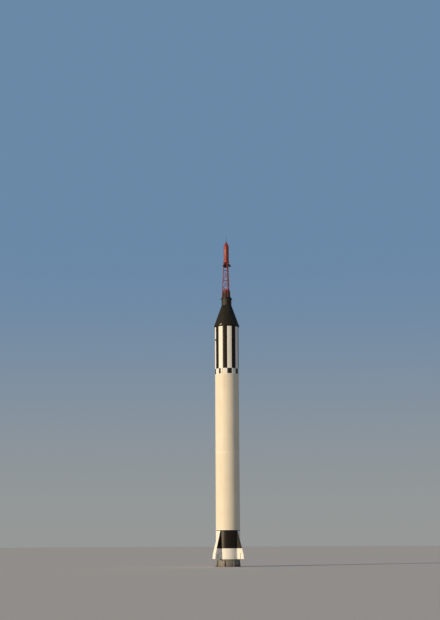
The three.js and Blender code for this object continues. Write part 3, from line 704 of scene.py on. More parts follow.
duct_turns = np.linspace(0, 2 * np.pi, 48, endpoint=False)
mouth_slope = math.tan(0.5)          # the pipe's foot is cut off at a slant
duct_rows = []
for radius, end in ((duct_radius, "foot"), (duct_radius, "top"), (duct_radius - duct_wall, "top"),
                    (duct_radius - duct_wall, "foot")):
    x, y = radius * np.cos(duct_turns), radius * np.sin(duct_turns)
    z = duct_high.z + 0 * x if end == "top" else duct_low.z + (duct_radius - x) * mouth_slope
    duct_rows.append(np.stack([duct_x + x, duct_y + y, z], axis=-1))
collar = turned([(duct_radius - 0.002, -0.022), (duct_radius + 0.034, -0.022), (duct_radius + 0.034, -0.008),
                 (duct_radius + 0.006, -0.006), (duct_radius - 0.002, -0.001)], 48, loop=True)
collar_bolts = copied(bolt_head(0.006, 0.006), on_deck(around(10), duct_radius + 0.022, -0.022, -1))
duct_place = places(np.array([[duct_x, duct_y, shield_low.z]]), [1.0, 0, 0], [0, 1.0, 0])
pipe = (np.stack(duct_rows), grid_faces(4, 48, loop_rows=True))
make_piece("exhaust_pipe", [pipe, copied(collar, duct_place), copied(collar_bolts, duct_place)], bell_steel,
           "nozzle_steel", stands_for=["exhaust_duct"])


# Two welded tanks make the long white body. Each is rolled from sheets a metre and a half tall, with
# a low bead at every weld and the skin drawn in a little between them. Bare of any lettering.
bead_half, bead_proud, sheet_tall, skin_draw = 0.012, 0.0022, 1.45, 0.0010


def tank(low, high):
    """A round tank: the radius gains a bell-shaped bead at each weld, and loses a sine between two
    welds. Rows crowd round the beads. Its ends are closed to the axis."""
    count = round((high - low) / sheet_tall)
    welds = np.linspace(low, high, count + 1)
    near = np.linspace(-2.5, 2.5, 11) * bead_half
    rows = np.unique(np.clip(np.r_[(welds[:, None] + near).ravel(), np.linspace(low, high, 12 * count)], low, high))
    nearest = np.abs(rows[:, None] - welds[1:-1]).min(axis=1) if count > 1 else np.full(len(rows), 9.0)
    share = (rows - low) / (high - low) * count
    bead, draw = bead_proud * np.exp(-(nearest / bead_half) ** 2), skin_draw * np.abs(np.sin(np.pi * share))
    return turned(np.r_[[(0.0, low)], np.c_[body_radius + bead - draw, rows], [(0.0, high)]], 160)


tank_cream = (0.78, 0.725, 0.60, 1.0)
white_skin = coated("cream_coat", tank_cream, white_grime, 0.20, **gloss)
for name in ("lower_tank", "upper_tank"):
    tank_low, tank_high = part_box(name)
    make_piece(f"{name}_skin", [tank(tank_low.z, tank_high.z)], white_skin, "white_paint", stands_for=[name])
joint_heights = [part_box("lower_tank")[0].z + 0.035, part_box("lower_tank")[1].z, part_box("upper_tank")[1].z - 0.030]
# The joint rings take a whiter coat than the tank's cream: partly their own paint, partly a painted highlight along
# the joints.
joint_white_and_highlight = coated("joint_coat_and_highlight", white_coat, white_grime, 0.20, **gloss)
joint_straps = [strap(height, 0.050, proud=0.006) for height in joint_heights]
joint_screws = rivet_rows(joint_heights, 96, body_radius + 0.006)
make_piece("tank_joint_rings", joint_straps, joint_white_and_highlight, "white_paint")
make_piece("tank_joint_screws", [joint_screws], joint_white_and_highlight, "white_paint", smooth=60)


# A round service port closes the tank's filling valve on the right of the front: a pale green cover
# in a flush ring with eight screws. Two small vents sit round the back.
port_height, port_turn, port_radius = 9.39, -17.9, 0.048
port_green, port_dirt = (0.46, 0.53, 0.42, 1.0), (0.10, 0.12, 0.09, 1.0)
port_finish = coated("green_cover", port_green, port_dirt, 0.5, 0.35, coat_gloss=0.3)
port_cover = turned([(0, -0.004), (port_radius, -0.004), (port_radius, 0.004), (port_radius * 0.8, 0.007),
                     (port_radius * 0.72, 0.003), (0, 0.005)], 40)
port_rim = turned([(port_radius - 0.002, -0.004), (port_radius + 0.020, -0.004), (port_radius + 0.018, 0.006),
                    (port_radius + 0.002, 0.006)], 40, loop=True)
port_screws = copied(bolt_head(0.004, 0.003), on_deck(around(8), port_radius + 0.010, 0.006))
port_place = on_wall([math.radians(port_turn)], body_radius, port_height)
port_ring = [copied(part, port_place) for part in (port_rim, port_screws)]
make_piece("tank_port_cover", [copied(port_cover, port_place)], port_finish, "white_paint")
make_piece("tank_port_ring", port_ring, white_skin, "white_paint")
vent = turned([(0, -0.004), (0.032, -0.004), (0.030, 0.018), (0.022, 0.022), (0.018, 0.010), (0, 0.008)], 28)
vent_places = on_wall(np.radians([150.0, 62.0]), body_radius, np.array([8.02, 13.6]))
make_piece("tank_vents", [copied(vent, vent_places)], white_skin, "white_paint")


# The cable raceway carries wiring past the tanks on the side away from the hatch: a shallow trunk of
# pressed sheet, faired down at both ends and held by straps.
race_low, race_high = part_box("cable_raceway")
race_turn, race_half, race_proud, race_taper = math.radians(112.5), 0.055, 0.048, 0.110
race_rows = np.unique(np.r_[np.linspace(race_low.z, race_low.z + race_taper, 10),
                            np.linspace(race_high.z - race_taper, race_high.z, 10),
                            np.linspace(race_low.z, race_high.z, 40)])
race_ends = np.clip(np.minimum(race_rows - race_low.z, race_high.z - race_rows) / race_taper, 0.0, 1.0)
race_across = np.linspace(np.pi, 0.0, 21)
race_section_x = race_half * np.sign(np.cos(race_across)) * np.abs(np.cos(race_across)) ** 0.45
race_section_z = np.abs(np.sin(race_across)) ** 0.45


def raceway(rows, ends, grow=0.0):
    """The trunk's section is half of a superellipse standing on the skin, carried up the body."""
    reach = body_radius - 0.003 + (race_proud + 0.003 + grow) * np.sin(ends * np.pi / 2)[:, None] * race_section_z
    turn = race_turn - race_section_x * (1 + grow / race_half) / body_radius + 0 * reach
    points = np.stack([reach * np.cos(turn), reach * np.sin(turn), rows[:, None] + 0 * reach], axis=-1)
    return points, grid_faces(len(rows), len(race_across), loop_columns=True)


make_piece("cable_raceway_trunk", [raceway(race_rows, race_ends)], white_skin, "white_paint",
           stands_for=["cable_raceway"])
strap_rows = np.arange(race_low.z + 0.5, race_high.z - 0.4, 0.9)
strap_parts = [raceway(height + np.array([-0.016, -0.016, 0.016, 0.016]), np.array([0.9, 1.0, 1.0, 0.9]), 0.004)
               for height in strap_rows]
make_piece("cable_raceway_straps", strap_parts, steel, "steel", smooth=30)


# The check ring and the instrument bay above it are painted in sixteen upright sectors. The stripes
# run up to the capsule, and the checks below them are the same sectors with the colours changed over.
stripe_edge = -48.8                 # turn of one stripe's edge, in degrees
sector = 22.5
sectors, sectors_in, sectors_out = new_group(
    "painted_sectors", [("Place", "NodeSocketVector"), ("Edge", "NodeSocketFloat")], [("Mask", "NodeSocketFloat")])
east, north, _ = axes(sectors, sectors_in["Place"])
bearing_angle = sums(sectors, "MULTIPLY", sums(sectors, "ARCTAN2", north, east), 180 / math.pi)
hand_wobble = sums(sectors, "MULTIPLY_ADD", noise(sectors, sectors_in["Place"], 3.0, 4.0), 0.30, -0.15)
steps = sums(sectors, "DIVIDE", sums(sectors, "ADD", sums(sectors, "SUBTRACT", bearing_angle, sectors_in["Edge"]),
                                      hand_wobble), sector)
odd_sector = sums(sectors, "GREATER_THAN", sums(sectors, "FLOORED_MODULO", steps, 2.0), 1.0)
sectors.links.new(odd_sector, sectors_out["Mask"])


def sector_colours(first, second):
    """A pattern of two coats in alternate sectors."""
    def pattern(tree, place):
        mask = add_node(tree, "ShaderNodeGroup", node_tree=sectors)
        tree.links.new(place, mask.inputs["Place"])
        mask.inputs["Edge"].default_value = stripe_edge
        return mixed(tree, mask.outputs["Mask"], first, second)
    return pattern


stripe_coat = coated("striped_coat", white_coat, white_grime, 0.16, pattern=sector_colours(white_coat, black_coat),
                     **gloss)
check_coat = coated("checked_coat", white_coat, white_grime, 0.16, pattern=sector_colours(black_coat, white_coat),
                    **{**gloss, "coat_gloss": 1.0, "coat_roughness": 0.29})
check_low, check_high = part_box("check_ring")
bay_low, bay_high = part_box("instrument_bay")
adapter_low, adapter_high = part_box("adapter_ring")


def plain_drum(low, high, radius=body_radius, sides=160):
    """A closed drum whose upper and lower edges are eased by a few millimetres."""
    ease = 0.003
    return turned(upon(low, (0, 0), (radius - ease, 0), (radius, ease))
                  + upon(high, (radius, -ease), (radius - ease, 0), (0, 0)), sides)


make_piece("check_ring_skin", [plain_drum(check_low.z, check_high.z)], check_coat, "check_paint",
           stands_for=["check_ring"])
make_piece("check_ring_rivets", [rivet_rows([check_low.z + 0.03, check_high.z - 0.03], 96, body_radius)], check_coat,
           "check_paint", smooth=60)
bay_rows = [bay_low.z + 0.03, bay_high.z - 0.03, adapter_low.z + 0.03, adapter_high.z - 0.035]
bay_doors = [(turn, 15.35, 0.46, 0.62) for turn in (15, 105, 195, 285)]
bay_doors += [(turn, 16.62, 0.30, 0.36) for turn in (60, 150, 240)]
for name, shapes, settings in (
        ("instrument_bay_skin", [tank(bay_low.z, bay_high.z)], {"stands_for": ["instrument_bay"]}),
        ("adapter_ring_skin", [plain_drum(adapter_low.z, adapter_high.z)], {"stands_for": ["adapter_ring"]}),
        ("instrument_bay_rivets", [rivet_rows(bay_rows, 96, body_radius)], {"smooth": 60}),
        ("instrument_bay_doors", [door(*size) for size in bay_doors], {}),
        ("instrument_bay_door_screws", [door_screws(*size) for size in bay_doors], {"smooth": 60})):
    make_piece(name, shapes, stripe_coat, "striped_paint", **settings)
socket_size = (-121.7, 16.755, 0.150, 0.115)
socket_black, socket_dust = (0.006, 0.006, 0.006, 1.0), (0.05, 0.045, 0.04, 1.0)
socket_finish = coated("socket_black", socket_black, socket_dust, 0.3, 0.6, specular=0.2)
make_piece("umbilical_socket", [door(*socket_size, proud=0.020, corner=5.0)], socket_finish, "black_paint")
pins = np.stack(np.meshgrid(np.linspace(-0.035, 0.035, 5), np.linspace(-0.022, 0.022, 3)), axis=-1).reshape(-1, 2)
pin_turns = math.radians(socket_size[0]) + pins[:, 0] / body_radius
pin_places = on_wall(pin_turns, body_radius + 0.020, socket_size[1] + pins[:, 1])
make_piece("umbilical_pins", [copied(bolt_head(0.004, 0.006), pin_places)], steel, "steel")


# The clamp ring holds the capsule to its adapter: a black enamelled band that flares to the
# capsule's width, drawn tight by three tension blocks with their bolts.
clamp_low, clamp_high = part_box("clamp_ring")
clamp_outer = clamp_high.x
clamp_black = coated("black_enamel", (0.010, 0.008, 0.006, 1.0), black_grime, 0.3, 0.45, coat_gloss=0.15,
                     coat_roughness=0.25, specular=0.2)
clamp_profile = upon(clamp_low.z, (0, 0), (body_radius + 0.006, 0), (body_radius + 0.008, 0.004),
                     (body_radius + 0.008, 0.032), (clamp_outer - 0.010, 0.066), (clamp_outer - 0.002, 0.070),
                     (clamp_outer, 0.074))
clamp_profile += upon(clamp_high.z, (clamp_outer, -0.004), (clamp_outer - 0.004, 0), (0, 0))
make_piece("clamp_ring_band", [turned(clamp_profile, 160)], clamp_black, "black_paint", stands_for=["clamp_ring"])
block = slab([(-0.07, -0.014), (0.07, -0.014), (0.07, 0.014), (-0.07, 0.014)], 0.030)
block_turns = around(3, -81.5)
block_height = clamp_high.z - 0.020
bolt_turns = np.concatenate([block_turns + side * 0.052 for side in (-1, 1)])
clamp_bolts = copied(bolt_head(0.010, 0.010), on_wall(bolt_turns, clamp_outer + 0.021, block_height))
make_piece("clamp_ring_blocks", [copied(block, on_wall(block_turns, clamp_outer + 0.006, block_height))], clamp_black,
           "black_paint", bevel=0.003)
make_piece("clamp_ring_bolts", [clamp_bolts], steel, "steel")


# The capsule's cabin is a pressure shell under an outer skin of thin beaded shingles, almost black
# with heat-resistant oxide. Each course of shingles has its own row of beads and laps the one below.
cabin_low, cabin_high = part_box("cabin_shell")
cone_base, cone_slope = cabin_high.x, math.radians(20.0)
cone_neck = cone_base - (cabin_high.z - cabin_low.z) * math.tan(cone_slope)
shingle_black, shingle_dust = (0.0150, 0.0135, 0.0090, 1.0), (0.050, 0.042, 0.026, 1.0)
cabin_green, shingle_brown = (0.23, 0.27, 0.21, 1.0), (0.034, 0.027, 0.013, 1.0)
bead_count, bead_samples, bead_rise, shingle_lift, course_count = 108, 7, 0.0065, 0.0035, 6
hatch_opening = (0.255, 0.935, 0.290, 0.215)      # foot and head above the cone's base, and half the
window_opening = (0.915, 1.155, 0.130, 0.095)     # width at each


def cone_radius(height):
    """The cone narrows evenly from its base."""
    return cone_base - (height - cabin_low.z) * math.tan(cone_slope)


def inside_or_out(tree, place):
    """The oxide's near black outside, and a pale green coat on the walls inside."""
    x, y, z = axes(tree, place)
    reach = off_axis(tree, x, y)
    wall = between(tree, z, cabin_low.z, cabin_high.z, cone_base, cone_neck)
    inside = sums(tree, "LESS_THAN", reach, sums(tree, "SUBTRACT", wall, 0.035))
    above_floor = sums(tree, "GREATER_THAN", z, cabin_low.z + 0.05)
    return mixed(tree, times(tree, inside, above_floor), shingle_black, cabin_green)


def oxide(tree, place):
    """Near black, browner where the sheet ran hottest, in upright blotches."""
    blotch = between(tree, noise(tree, place, 4.0, 6.0, (1.6, 1.6, 0.5)), 0.42, 0.68)
    return mixed(tree, times(tree, blotch, 0.55), shingle_black, shingle_brown)


shingle_finish = coated("oxidised_shingles", shingle_black, shingle_dust, 0.35, 0.42, metallic=0.25, specular=0.30,
                        texture=0.15, pattern=oxide)
cabin_finish = coated("cabin_walls", shingle_black, shingle_dust, 0.3, 0.5, texture=0.15, pattern=inside_or_out)
refinish("cabin_shell", cabin_finish)


def wall_point(across, along, lift, middle):
    """A point of the cone on its -X side, from a place on the plane that touches it at a middle
    height. The plane's normal is followed back by w to the cone, where w is the cosine of the slope
    times (the root of a squared less across squared times the cosine of twice the slope, less a),
    over that cosine, and a is the radius at that place's height."""
    sine, cosine, double = math.sin(cone_slope), math.cos(cone_slope), math.cos(2 * cone_slope)
    radius = cone_radius(middle) - along * sine
    back = cosine * (np.sqrt(radius ** 2 - across ** 2 * double) - radius) / double
    x = -(radius + back * cosine)
    z = middle + along * cosine + back * sine
    turn = np.arctan2(across, x)
    return np.stack([x + lift * cosine * np.cos(turn), across + lift * cosine * np.sin(turn), z + lift * sine],
                    axis=-1)


def plane_place(points, middle, quarter=0):
    """Back from points to (across, along) on the touching plane, after quarter turns about the axis."""
    x, y = points[..., 0], points[..., 1]
    for _ in range(quarter):
        x, y = -y, x
    along = (x + cone_radius(middle)) * math.sin(cone_slope) + (points[..., 2] - middle) * math.cos(cone_slope)
    return y, along


def in_opening(points, low, high, low_half, high_half, margin, quarter):
    """Whether points lie within a tapered opening of the wall, grown by a margin."""
    middle = cabin_low.z + (low + high) / 2
    half = (high - low) / 2 / math.cos(cone_slope)
    across, along = plane_place(points, middle, quarter)
    side = low_half + (high_half - low_half) * (along + half) / (2 * half)
    facing = points[..., 0] < 0 if quarter == 0 else points[..., 1] > 0
    return facing & (np.abs(across) < side + margin) & (np.abs(along) < half + margin)


def beads(turn, share):
    """How far a bead stands out: a raised cosine round the cone, squared, fading at a course's ends."""
    fade = np.clip(np.minimum(share, 1 - share) / 0.10, 0.0, 1.0)
    return bead_rise * (0.5 + 0.5 * np.cos(turn * bead_count)) ** 2 * fade * fade * (3 - 2 * fade)


turns = np.linspace(0, 2 * np.pi, bead_count * bead_samples, endpoint=False)[None, :]
course_rows = np.array([0.0, 0.04, 0.08, 0.13, 0.5, 0.87, 0.92, 0.96, 1.0])
span = cabin_high.z - cabin_low.z - 0.012
courses = (np.arange(course_count)[:, None] + course_rows) / course_count
heights = (cabin_low.z + 0.004 + span * courses).reshape(-1, 1)
shares = np.tile(course_rows, course_count)[:, None]
lap = 0.0022 * (1 - shares)
lift = shingle_lift + lap + beads(turns, shares)
reach = cone_radius(heights) + lift * math.cos(cone_slope)
skin = np.stack([reach * np.cos(turns), reach * np.sin(turns), heights + lift * math.sin(cone_slope)], axis=-1)
skin_faces = grid_faces(len(heights), turns.shape[1])
middles = skin.reshape(-1, 3)[skin_faces].mean(axis=1)
cut = in_opening(middles, *hatch_opening, 0.012, 0) | in_opening(middles, *window_opening, 0.012, 1)
make_piece("cabin_shingles", [(skin, skin_faces[~cut])], shingle_finish, "cabin_metal", wall=0.0025, smooth=50)


def tapered_ring(low, high, low_half, high_half, margins, lifts, quarter, per_side=24):
    """A frame on the wall: a tapered outline at each margin and lift, joined into a closed ring."""
    middle = cabin_low.z + (low + high) / 2
    half = (high - low) / 2 / math.cos(cone_slope)
    rows = []
    for margin, lift in zip(margins, lifts):
        corners = np.array([(-low_half - margin, -half - margin), (-high_half - margin, half + margin),
                            (high_half + margin, half + margin), (low_half + margin, -half - margin)])
        sides = np.linspace(0, 1, per_side, endpoint=False)[:, None]
        outline = np.concatenate([a + (b - a) * sides for a, b in zip(corners, np.roll(corners, -1, axis=0))])
        rows.append(wall_point(outline[:, 0], outline[:, 1], lift, middle))
    points = np.stack(rows)
    angle = -quarter * math.pi / 2
    spin = np.array([[math.cos(angle), -math.sin(angle), 0], [math.sin(angle), math.cos(angle), 0], [0, 0, 1]])
    return points @ spin.T, grid_faces(len(rows), 4 * per_side, loop_rows=True)


def ring_screws(low, high, low_half, high_half, margin, lift, quarter, per_side, shape):
    """Screws along one tapered outline, each standing square to the cone."""
    points = tapered_ring(low, high, low_half, high_half, [margin], [lift], quarter, per_side)[0][0]
    turn = np.arctan2(points[:, 1], points[:, 0])
    return copied(shape, on_wall(turn, np.hypot(points[:, 0], points[:, 1]), points[:, 2], cone_slope))


foot_fitting = slab([(-0.016, -0.022), (0.016, -0.022), (0.012, 0.022), (-0.012, 0.022)], 0.014)
fitting_height = cabin_low.z + 0.075
fitting_radius, fitting_turns = cone_radius(fitting_height), around(36, -73.0)
foot_fittings = [copied(part, on_wall(fitting_turns, fitting_radius + lift, fitting_height, cone_slope))
                 for part, lift in ((foot_fitting, 0.008), (bolt_head(0.007, 0.006), 0.014))]
make_piece("cabin_foot_fittings", foot_fittings, shingle_finish, "cabin_metal", bevel=0.002)
# The ground plug is pale cream: a painted glint where the sun's highlight shows at the cone's foot.
ground_plug = turned([(0, -0.004), (0.036, -0.004), (0.036, 0.006), (0.033, 0.009), (0.022, 0.009), (0.020, 0.005),
                      (0, 0.006)], 32)
glint_plug_finish = coated("painted_glint_plug", (0.80, 0.76, 0.66, 1.0), steel_dirt, 0.2, 0.45)
plug_place = on_wall(np.radians([-78.0]), fitting_radius + 0.009, fitting_height, cone_slope)
make_piece("cabin_glint_plug", [copied(ground_plug, plug_place)], glint_plug_finish, "steel")
small_bolt = bolt_head(0.0065, 0.005)
for name, bolts, opening, margins, bolt_line, per_side, quarter in (
        ("hatch_way_frame", "hatch_way_bolts", hatch_opening, [0.002, 0.030, 0.030, 0.002], 0.016, 14, 0),
        ("window_frame", "window_bolts", window_opening, [0.002, 0.030, 0.028, 0.004], 0.017, 6, 1)):
    ring = tapered_ring(*opening, margins, [-0.004, -0.004, 0.0125, 0.0125], quarter)
    make_piece(name, [ring], shingle_finish, "cabin_metal", smooth=30)
    make_piece(bolts, [ring_screws(*opening, bolt_line, 0.0125, quarter, per_side, small_bolt)], steel, "steel")


# The hatch lifts straight off the wall. It is a stiff plate under its own beaded skin, closed by
# bolts all round its edge, and it leaves an even gap to its frame.
hatch_gap, hatch_edge = 0.005, 0.040
hatch_low, hatch_high, hatch_low_half, hatch_high_half = hatch_opening
middle = cabin_low.z + (hatch_low + hatch_high) / 2
half = (hatch_high - hatch_low) / 2 / math.cos(cone_slope) - hatch_gap
up = np.linspace(-1, 1, 37)[:, None]
wide = np.linspace(-1, 1, 141)[None, :]
side_half = hatch_low_half - hatch_gap + (hatch_high_half - hatch_low_half) * (up + 1) / 2
across = wide * side_half
along = up * half + 0 * wide
flat = wall_point(across, along, 0.0, middle)
turn = np.arctan2(flat[..., 1], flat[..., 0])
from_edge = np.minimum(side_half - np.abs(across), half - np.abs(along))
fade = np.clip((from_edge - hatch_edge) / 0.03, 0.0, 1.0)
rise = bead_rise * (0.5 + 0.5 * np.cos(turn * bead_count)) ** 2 * fade * fade * (3 - 2 * fade)
hatch_skin = wall_point(across, along, shingle_lift + rise, middle)
refinish("hatch", cabin_finish)
hatch_shape = (hatch_skin[:, ::-1], grid_faces(37, 141, loop_columns=False))
make_piece("hatch_skin", [hatch_shape], shingle_finish, "cabin_metal", body="hatch", wall=0.003, smooth=50)
hatch_bolts = ring_screws(*hatch_opening, -0.025, shingle_lift, 0, 16, small_bolt)
make_piece("hatch_bolts", [hatch_bolts], steel, "steel", body="hatch")


# The window is one thick pane with rounded edges, clear with a trace of green.
pane, pane_tree, pane_shader = new_finish("window_glass")
pane_clear, pane_shade = (0.80, 0.90, 0.88, 1.0), (0.70, 0.84, 0.80, 1.0)
pane_place = add_node(pane_tree, "ShaderNodeTexCoord").outputs["Object"]
dusty = between(pane_tree, noise(pane_tree, pane_place, 30.0, 5.0), 0.4, 0.7, 0.02, 0.12)
tinted = between(pane_tree, noise(pane_tree, pane_place, 8.0), 0.4, 0.6)
connect(pane_tree, pane_shader, {"Roughness": dusty, "Base Color": mixed(pane_tree, tinted, pane_clear, pane_shade),
                                 "Transmission Weight": 0.9, "IOR": 1.45})
nodes["window_pane"].data.materials.clear()
nodes["window_pane"].data.materials.append(pane)


# The couch is a moulded shell for someone lying back with their knees raised. Four quilted pads lie
# in it. The pads are crowned by a formula, with sewn channels across them.
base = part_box("couch")[0].z
couch_olive, couch_worn = (0.16, 0.19, 0.12, 1.0), (0.07, 0.07, 0.05, 1.0)
pad_grey, pad_worn = (0.34, 0.34, 0.31, 1.0), (0.14, 0.13, 0.11, 1.0)
couch_finish = coated("couch_shell", couch_olive, couch_worn, 0.3, 0.6, texture=0.3)


def weave(tree, place):
    """Cloth whose crossing threads darken it in fine lines."""
    x, y, z = axes(tree, place)
    warp = sums(tree, "SINE", times(tree, y, 2400.0))
    weft = sums(tree, "SINE", times(tree, sums(tree, "ADD", x, z), 2400.0))
    return mixed(tree, between(tree, times(tree, warp, weft), -1.0, 1.0, 0.0, 0.4), pad_grey, pad_worn)


pad_finish = coated("quilted_cloth", pad_grey, pad_worn, 0.3, 0.85, texture=0.5, pattern=weave)
couch_outline = np.array([
    (-0.560, 0.0), (0.470, 0.0), (0.470, 0.405), (0.462, 0.418), (0.412, 0.418), (0.402, 0.408), (0.345, 0.150),
    (0.320, 0.120), (0.120, 0.080), (-0.300, 0.066), (-0.450, 0.085), (-0.485, 0.110), (-0.520, 0.180),
    (-0.530, 0.188), (-0.552, 0.188), (-0.560, 0.180)])
couch_section = [(0.0, -0.233), (0.94, -0.235), (1.0, -0.222), (1.0, 0.222), (0.94, 0.235), (0.0, 0.233)]
spine = np.array([-0.05, 0.045])
couch_points = np.stack([
    np.c_[spine + (couch_outline - spine) * share, np.full(len(couch_outline), y)] for share, y in couch_section])
couch_points = couch_points[:, :, [0, 2, 1]] + np.array([0.0, 0.0, base])
couch_faces = grid_faces(len(couch_section), len(couch_outline))[:, ::-1]
make_piece("couch_shell", [(couch_points, couch_faces)], couch_finish, "couch_shell", stands_for=["couch"], smooth=50)
pad_places = [  # name, start x, start height, end x, end height, thickness, channels
    ("head", -0.500, 0.150, -0.440, 0.100, 0.030, 1), ("back", -0.430, 0.100, 0.080, 0.092, 0.040, 5),
    ("seat", 0.100, 0.098, 0.310, 0.140, 0.038, 2), ("legs", 0.345, 0.170, 0.398, 0.395, 0.030, 3)]
for name, x0, z0, x1, z1, thickness, channels in pad_places:
    length, lean = math.hypot(x1 - x0, z1 - z0), math.atan2(z1 - z0, x1 - x0)
    rows, columns = 33, 48
    polar = np.linspace(-np.pi / 2, np.pi / 2, rows)[:, None]
    round_turn = np.linspace(0, 2 * np.pi, columns, endpoint=False)[None, :]
    flat_share = np.abs(np.cos(polar)) ** 0.35
    ring_x = flat_share * np.sign(np.cos(round_turn)) * np.abs(np.cos(round_turn)) ** 0.35
    ring_y = flat_share * np.sign(np.sin(round_turn)) * np.abs(np.sin(round_turn)) ** 0.35
    channel = 1 - 0.30 * np.exp(-((np.abs(np.sin(np.pi * channels * (ring_x + 1) / 2)) / 0.22) ** 2))
    raised = np.sin(polar) * np.where(np.sin(polar) > 0, channel, 0.5) * (1 - 0.25 * (ring_x ** 4 + ring_y ** 4) / 2)
    u, v, w = ring_x * length / 2, ring_y * 0.215, raised * thickness / 2 + thickness / 2
    points = np.stack([(x0 + x1) / 2 + u * math.cos(lean) - w * math.sin(lean), v + 0 * u,
                       base + (z0 + z1) / 2 + u * math.sin(lean) + w * math.cos(lean) - 0.008], axis=-1)
    shape = (points, grid_faces(rows, columns))
    pad = make_piece(f"couch_pad_{name}", [shape], pad_finish, "couch_shell", smooth=180)


# The instrument panel is a shelf across the cabin above the couch. Round dials with plain tick marks
# and rows of switches face down from it to the crew.
panel_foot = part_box("instrument_panel")[0].z
panel_grey_coat, panel_scuff = (0.115, 0.125, 0.130, 1.0), (0.05, 0.05, 0.05, 1.0)
dial_black, dial_ivory = (0.01, 0.01, 0.01, 1.0), (0.75, 0.72, 0.60, 1.0)
panel_finish = coated("panel_coat", panel_grey_coat, panel_scuff, 0.3, 0.6, texture=0.4)
dial_finish = coated("dial_black", dial_black, panel_scuff, 0.2, 0.5)
mark_finish = coated("dial_marks", dial_ivory, panel_grey_coat, 0.2, 0.6)
refinish("instrument_panel", panel_finish, 0.003)
dial = turned([(0, -0.002), (0.036, -0.002), (0.036, 0.006), (0.033, 0.008), (0.031, 0.004), (0, 0.004)], 32)
tick = slab([(0.022, -0.0012), (0.029, -0.0012), (0.029, 0.0012), (0.022, 0.0012)], 0.001)
ticks = copied(tick, on_deck(around(12), 0.0, 0.0045))
toggle = turned([(0, -0.002), (0.006, -0.002), (0.006, 0.003), (0.003, 0.004), (0.0022, 0.016), (0.0035, 0.020),
                 (0, 0.021)], 10)
dial_spots = np.stack(np.meshgrid(np.linspace(0.0, 0.22, 3), np.linspace(-0.27, 0.27, 6)), axis=-1).reshape(-1, 2)
toggle_spots = np.stack(np.meshgrid([-0.105, -0.070], np.linspace(-0.33, 0.33, 16)), axis=-1).reshape(-1, 2)


def under_panel(spots):
    """Places on the panel's underside, with z straight down."""
    origins = np.c_[spots, np.full(len(spots), panel_foot)]
    return places(origins, np.array([1.0, 0, 0]), np.array([0, -1.0, 0]))


make_piece("panel_dials", [copied(dial, under_panel(dial_spots))], dial_finish, "panel_grey")
make_piece("panel_marks", [copied(ticks, under_panel(dial_spots))], mark_finish, "panel_grey")
make_piece("panel_switches", [copied(toggle, under_panel(toggle_spots))], steel, "steel")


# The recovery cylinder on the capsule's neck holds the parachutes behind square beaded shingles. Its
# flange carries the escape tower, and a horizon scanner looks out on each side below the flange.
recovery_low, recovery_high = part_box("recovery_cylinder")
recovery_radius, flange_radius, flange_height, flange_slope = 0.370, 0.388, 0.070, 0.030
recovery_beads, recovery_rise = 48, 0.0060
flange_low = recovery_high.z - flange_height


def beaded_drum(low, high, radius, count, rise, courses, samples=8):
    """A drum with upright beads in courses: the radius gains a squared raised cosine round it."""
    turn = np.linspace(0, 2 * np.pi, count * samples, endpoint=False)[None, :]
    share = np.tile([0.0, 0.05, 0.12, 0.5, 0.88, 0.95, 1.0], courses)[:, None]
    height = (low + (high - low) * (np.repeat(np.arange(courses), 7)[:, None] + share) / courses)
    fade = np.clip(np.minimum(share, 1 - share) / 0.12, 0.0, 1.0)
    reach = radius + rise * (0.5 + 0.5 * np.cos(turn * count)) ** 2 * fade
    points = np.stack([reach * np.cos(turn), reach * np.sin(turn), height + 0 * turn], axis=-1)
    ends = [np.stack([0 * turn, 0 * turn, level + 0 * turn], axis=-1) for level in (low, high)]
    return np.concatenate([ends[0], points, ends[1]]), grid_faces(len(share) + 2, count * samples)


neck_rise = 0.025
neck = recovery_low.z
flange = turned(
    upon(flange_low - flange_slope, (0, 0), (recovery_radius, 0))
    + upon(flange_low, (flange_radius - 0.002, 0), (flange_radius, 0.003))
    + upon(recovery_high.z, (flange_radius, -0.003), (flange_radius - 0.003, 0), (0, 0)), 96)
neck_ring = turned(
    upon(neck, (0, 0), (cone_neck + 0.004, 0), (cone_neck + 0.004, 0.016))
    + upon(neck + neck_rise, (recovery_radius, 0.006), (0, 0.006)), 96)
recovery_drum = beaded_drum(neck + neck_rise, flange_low - flange_slope - 0.001, recovery_radius, recovery_beads,
                            recovery_rise, 2)
flange_bolts = copied(small_bolt, on_wall(around(36), flange_radius, flange_low + 0.035))
make_piece("recovery_skin", [recovery_drum], shingle_finish, "cabin_metal", stands_for=["recovery_cylinder"],
           smooth=50)
make_piece("recovery_rings", [flange, neck_ring], shingle_finish, "cabin_metal")
make_piece("recovery_bolts", [flange_bolts], shingle_finish, "cabin_metal")
scanner_turns = np.radians([37.05, 217.05])
housing = slab([(-0.045, -0.036), (0.045, -0.036), (0.045, 0.036), (-0.045, 0.036)], 0.090)
lens = turned([(0, -0.002), (0.026, -0.002), (0.026, 0.006), (0.021, 0.008), (0.019, 0.004), (0, 0.009)], 28)
housings, lenses = (copied(part, on_wall(scanner_turns, radius, flange_low - 0.032))
                    for part, radius in ((housing, 0.386), (lens, 0.431)))
make_piece("scanner_housings", [housings], shingle_finish, "cabin_metal", bevel=0.008)
lens_finish = coated("scanner_lens", (0.02, 0.03, 0.035, 1.0), socket_dust, 0.2, 0.08, coat_gloss=1.0,
                     coat_roughness=0.03)
make_piece("scanner_lenses", [lenses], lens_finish, "cabin_metal")


# The antenna canister stands inside the tower's foot: a short taper with a bolted foot, black with a
# red head darkened as painted shade, closed by a low cap in the tower's red.
canister_low, canister_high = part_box("antenna_canister")
cap_low, cap_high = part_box("canister_cap")
escape_red, escape_shade = (0.26, 0.040, 0.034, 1.0), (0.060, 0.014, 0.012, 1.0)
red_coat = coated("red_coat", escape_red, escape_shade, 0.55, 0.42, coat_gloss=0.2, coat_roughness=0.25, specular=0.3)
# The head's dark red is the canister's red paint, darkened as painted shade.
shaded_head_red, satin_black = (0.085, 0.012, 0.010, 1.0), (0.0260, 0.0135, 0.0115, 1.0)


